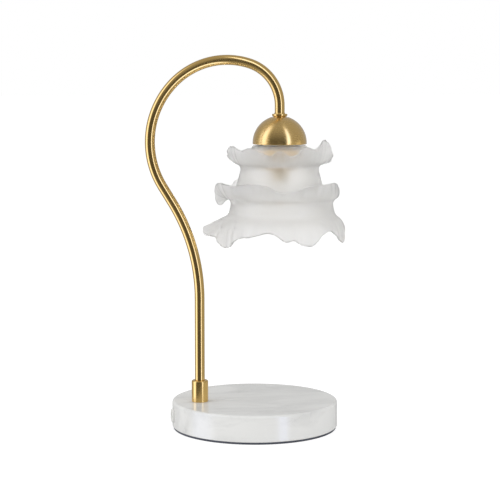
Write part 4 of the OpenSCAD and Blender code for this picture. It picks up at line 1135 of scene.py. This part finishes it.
class LAMP_OT_studio(LampOperator, Operator):
    """Sets the floor, the surroundings, the lights and the camera"""
    bl_idname = "lamp.studio"
    bl_label = "Studio"

    def execute(self, context):
        studio = context.scene.lamp_studio
        self.floor()
        self.sky(context, studio)
        self.reflectors(studio)
        self.lights(studio)
        self.camera(context, studio)
        context.scene.view_settings.view_transform = "Standard"
        return {"FINISHED"}

    def seen_directly(self, tree):
        """1 for rays from the camera, from metal and through glass, and 0 for the others."""
        path = add_node(tree, "ShaderNodeLightPath")
        seen = maths(tree, "MAXIMUM", path.outputs["Is Camera Ray"], path.outputs["Is Glossy Ray"])
        return maths(tree, "MAXIMUM", seen, path.outputs["Is Transmission Ray"])

    def floor(self):
        """A plain white floor that keeps a faint shadow."""
        bm = bmesh.new()
        bmesh.ops.create_grid(bm, x_segments=1, y_segments=1, size=FLOOR_REACH)
        floor = shape(bm, "floor", weighted=False)
        material = bpy.data.materials.new("White floor")
        material.use_nodes = True
        tree = material.node_tree
        tree.nodes.clear()
        seen = self.seen_directly(tree)
        matt = add_node(tree, "ShaderNodeBsdfDiffuse", {
            "Color": mix(tree, seen, rgba((FLOOR_UNSEEN,) * 3), rgba((FLOOR_SEEN,) * 3))})
        glow = add_node(tree, "ShaderNodeEmission", {"Strength": maths(tree, "MULTIPLY", seen, FLOOR_GLOW)})
        both = add_node(tree, "ShaderNodeAddShader", {0: matt.outputs[0], 1: glow.outputs[0]})
        add_node(tree, "ShaderNodeOutputMaterial", {"Surface": both.outputs[0]})
        material.cycles.emission_sampling = "NONE"
        floor.data.materials.append(material)
        floor.visible_glossy = False

    def sky(self, context, studio):
        """White surroundings that light the lamp more gently than they look."""
        world = bpy.data.worlds.new("White surroundings")
        context.scene.world = world
        world.use_nodes = True
        tree = world.node_tree
        glow = tree.nodes["Background"]
        glow.inputs["Color"].default_value = (1, 1, 1, 1)
        tree.links.new(spread(tree, self.seen_directly(tree), 0, 1, studio.sky, 1.0), glow.inputs["Strength"])

    def reflectors(self, studio):
        """A tent round the lamp that only metal and gloss can see: two bright strips, a dark gap
        between them where the camera stands, and an even tone elsewhere."""
        bm = bmesh.new()
        bmesh.ops.create_uvsphere(bm, u_segments=48, v_segments=24, radius=TENT_RADIUS)
        tent = shape(bm, "reflector_tent", weighted=False)
        material = bpy.data.materials.new("Reflectors")
        material.use_nodes = True
        tree = material.node_tree
        tree.nodes.clear()
        place = Vector(studio.camera_place)
        where = placed(tree, turn=(0, 0, -math.atan2(place.y, place.x)))
        round_tent = add_node(
            tree, "ShaderNodeTexGradient", {"Vector": where}, gradient_type="RADIAL").outputs["Fac"]
        bands = add_node(tree, "ShaderNodeValToRGB", {"Fac": round_tent})
        ramp = bands.color_ramp
        while len(ramp.elements) < len(TENT_LEVELS):
            ramp.elements.new(0.5)
        top = max(level for _, level in TENT_LEVELS)
        for stop, (degrees, level) in zip(ramp.elements, TENT_LEVELS):
            stop.position = (degrees + 180) / 360
            stop.color = rgba((level / top,) * 3)
        level = maths(tree, "SUBTRACT", maths(tree, "MULTIPLY", bands.outputs["Color"], top), TENT_TONE)
        height = add_node(tree, "ShaderNodeSeparateXYZ", {"Vector": where}).outputs["Z"]
        slope = maths(tree, "ABSOLUTE", maths(tree, "DIVIDE", height, TENT_RADIUS))
        bright = maths(tree, "MULTIPLY", maths(tree, "MAXIMUM", level, 0),
                       spread(tree, slope, *STRIP_FADE, 1, 0))
        dark = maths(tree, "MULTIPLY", maths(tree, "MINIMUM", level, 0),
                     spread(tree, slope, *GAP_FADE, 1, 0))
        strength = maths(tree, "ADD", maths(tree, "ADD", bright, dark), TENT_TONE)
        tint = mix(tree, spread(tree, bright, 0, top), (1, 1, 1, 1), rgba(TENT_TINT))
        glow = add_node(tree, "ShaderNodeEmission", {"Color": tint, "Strength": strength})
        add_node(tree, "ShaderNodeOutputMaterial", {"Surface": glow.outputs[0]})
        material.cycles.emission_sampling = "NONE"
        tent.data.materials.append(material)
        for kind in ("camera", "diffuse", "transmission", "volume_scatter", "shadow"):
            setattr(tent, f"visible_{kind}", False)

    def lights(self, studio):
        """Three soft lights: left, right and above."""
        for name, panel, power in (
                ("Key light", KEY_PANEL, studio.key_power),
                ("Fill light", FILL_PANEL, studio.fill_power),
                ("Top light", TOP_PANEL, studio.top_power)):
            data = bpy.data.lights.new(name, "AREA")
            data.shape = "RECTANGLE"
            data.size, data.size_y = panel[3:]
            data.energy = power
            light = bpy.data.objects.new(name, data)
            light.location = beside_camera(studio, *panel[:3])
            light.rotation_euler = (LIGHT_AIM - light.location).to_track_quat("-Z", "Y").to_euler()
            light.visible_glossy = False
            bpy.context.scene.collection.objects.link(light)

    def camera(self, context, studio):
        """The camera stands where the photograph was taken from."""
        data = bpy.data.cameras.new("Camera")
        data.lens = studio.camera_lens
        data.sensor_width = 36
        data.clip_start = 0.05
        camera = bpy.data.objects.new("Camera", data)
        camera.location = studio.camera_place
        camera.rotation_euler = (studio.camera_pitch, 0, studio.camera_heading)
        context.scene.collection.objects.link(camera)
        context.scene.camera = camera


class LAMP_PT_lamp(Panel):
    """Lists the steps of the build and the sizes that they use"""
    bl_idname = "LAMP_PT_lamp"
    bl_label = "Tulip Shade Lamp"
    bl_space_type = "VIEW_3D"
    bl_region_type = "UI"
    bl_category = "Lamp"

    def draw(self, context):
        layout = self.layout
        for operator in STEPS:
            layout.operator(operator.bl_idname)
        for name in SETTINGS:
            group = getattr(context.scene, name)
            box = layout.box()
            box.label(text=name.replace("lamp_", "").title())
            for prop in group.__annotations__:
                box.prop(group, prop)


SETTINGS = {
    "lamp_foot": FootSizes, "lamp_stem": StemSizes, "lamp_head": HeadSizes,
    "lamp_shade": ShadeSizes, "lamp_colours": LampColours, "lamp_studio": StudioSettings,
}
STEPS = (
    LAMP_OT_foot, LAMP_OT_stem, LAMP_OT_dome, LAMP_OT_holder, LAMP_OT_shade, LAMP_OT_bulb,
    LAMP_OT_inner_parts, LAMP_OT_studio,
)


def register():
    """Registers the sizes, the steps and the panel."""
    for group in SETTINGS.values():
        bpy.utils.register_class(group)
    for name, group in SETTINGS.items():
        setattr(bpy.types.Scene, name, PointerProperty(type=group))
    for step in (*STEPS, LAMP_PT_lamp):
        bpy.utils.register_class(step)


def unregister():
    """Takes away what register adds."""
    for step in reversed((*STEPS, LAMP_PT_lamp)):
        bpy.utils.unregister_class(step)
    for name in SETTINGS:
        delattr(bpy.types.Scene, name)
    for group in reversed(SETTINGS.values()):
        bpy.utils.unregister_class(group)


def main():
    """Builds the whole lamp."""
    register()
    for step in STEPS:
        area, name = step.bl_idname.split(".")
        getattr(getattr(bpy.ops, area), name)()


if __name__ == "__main__":
    main()
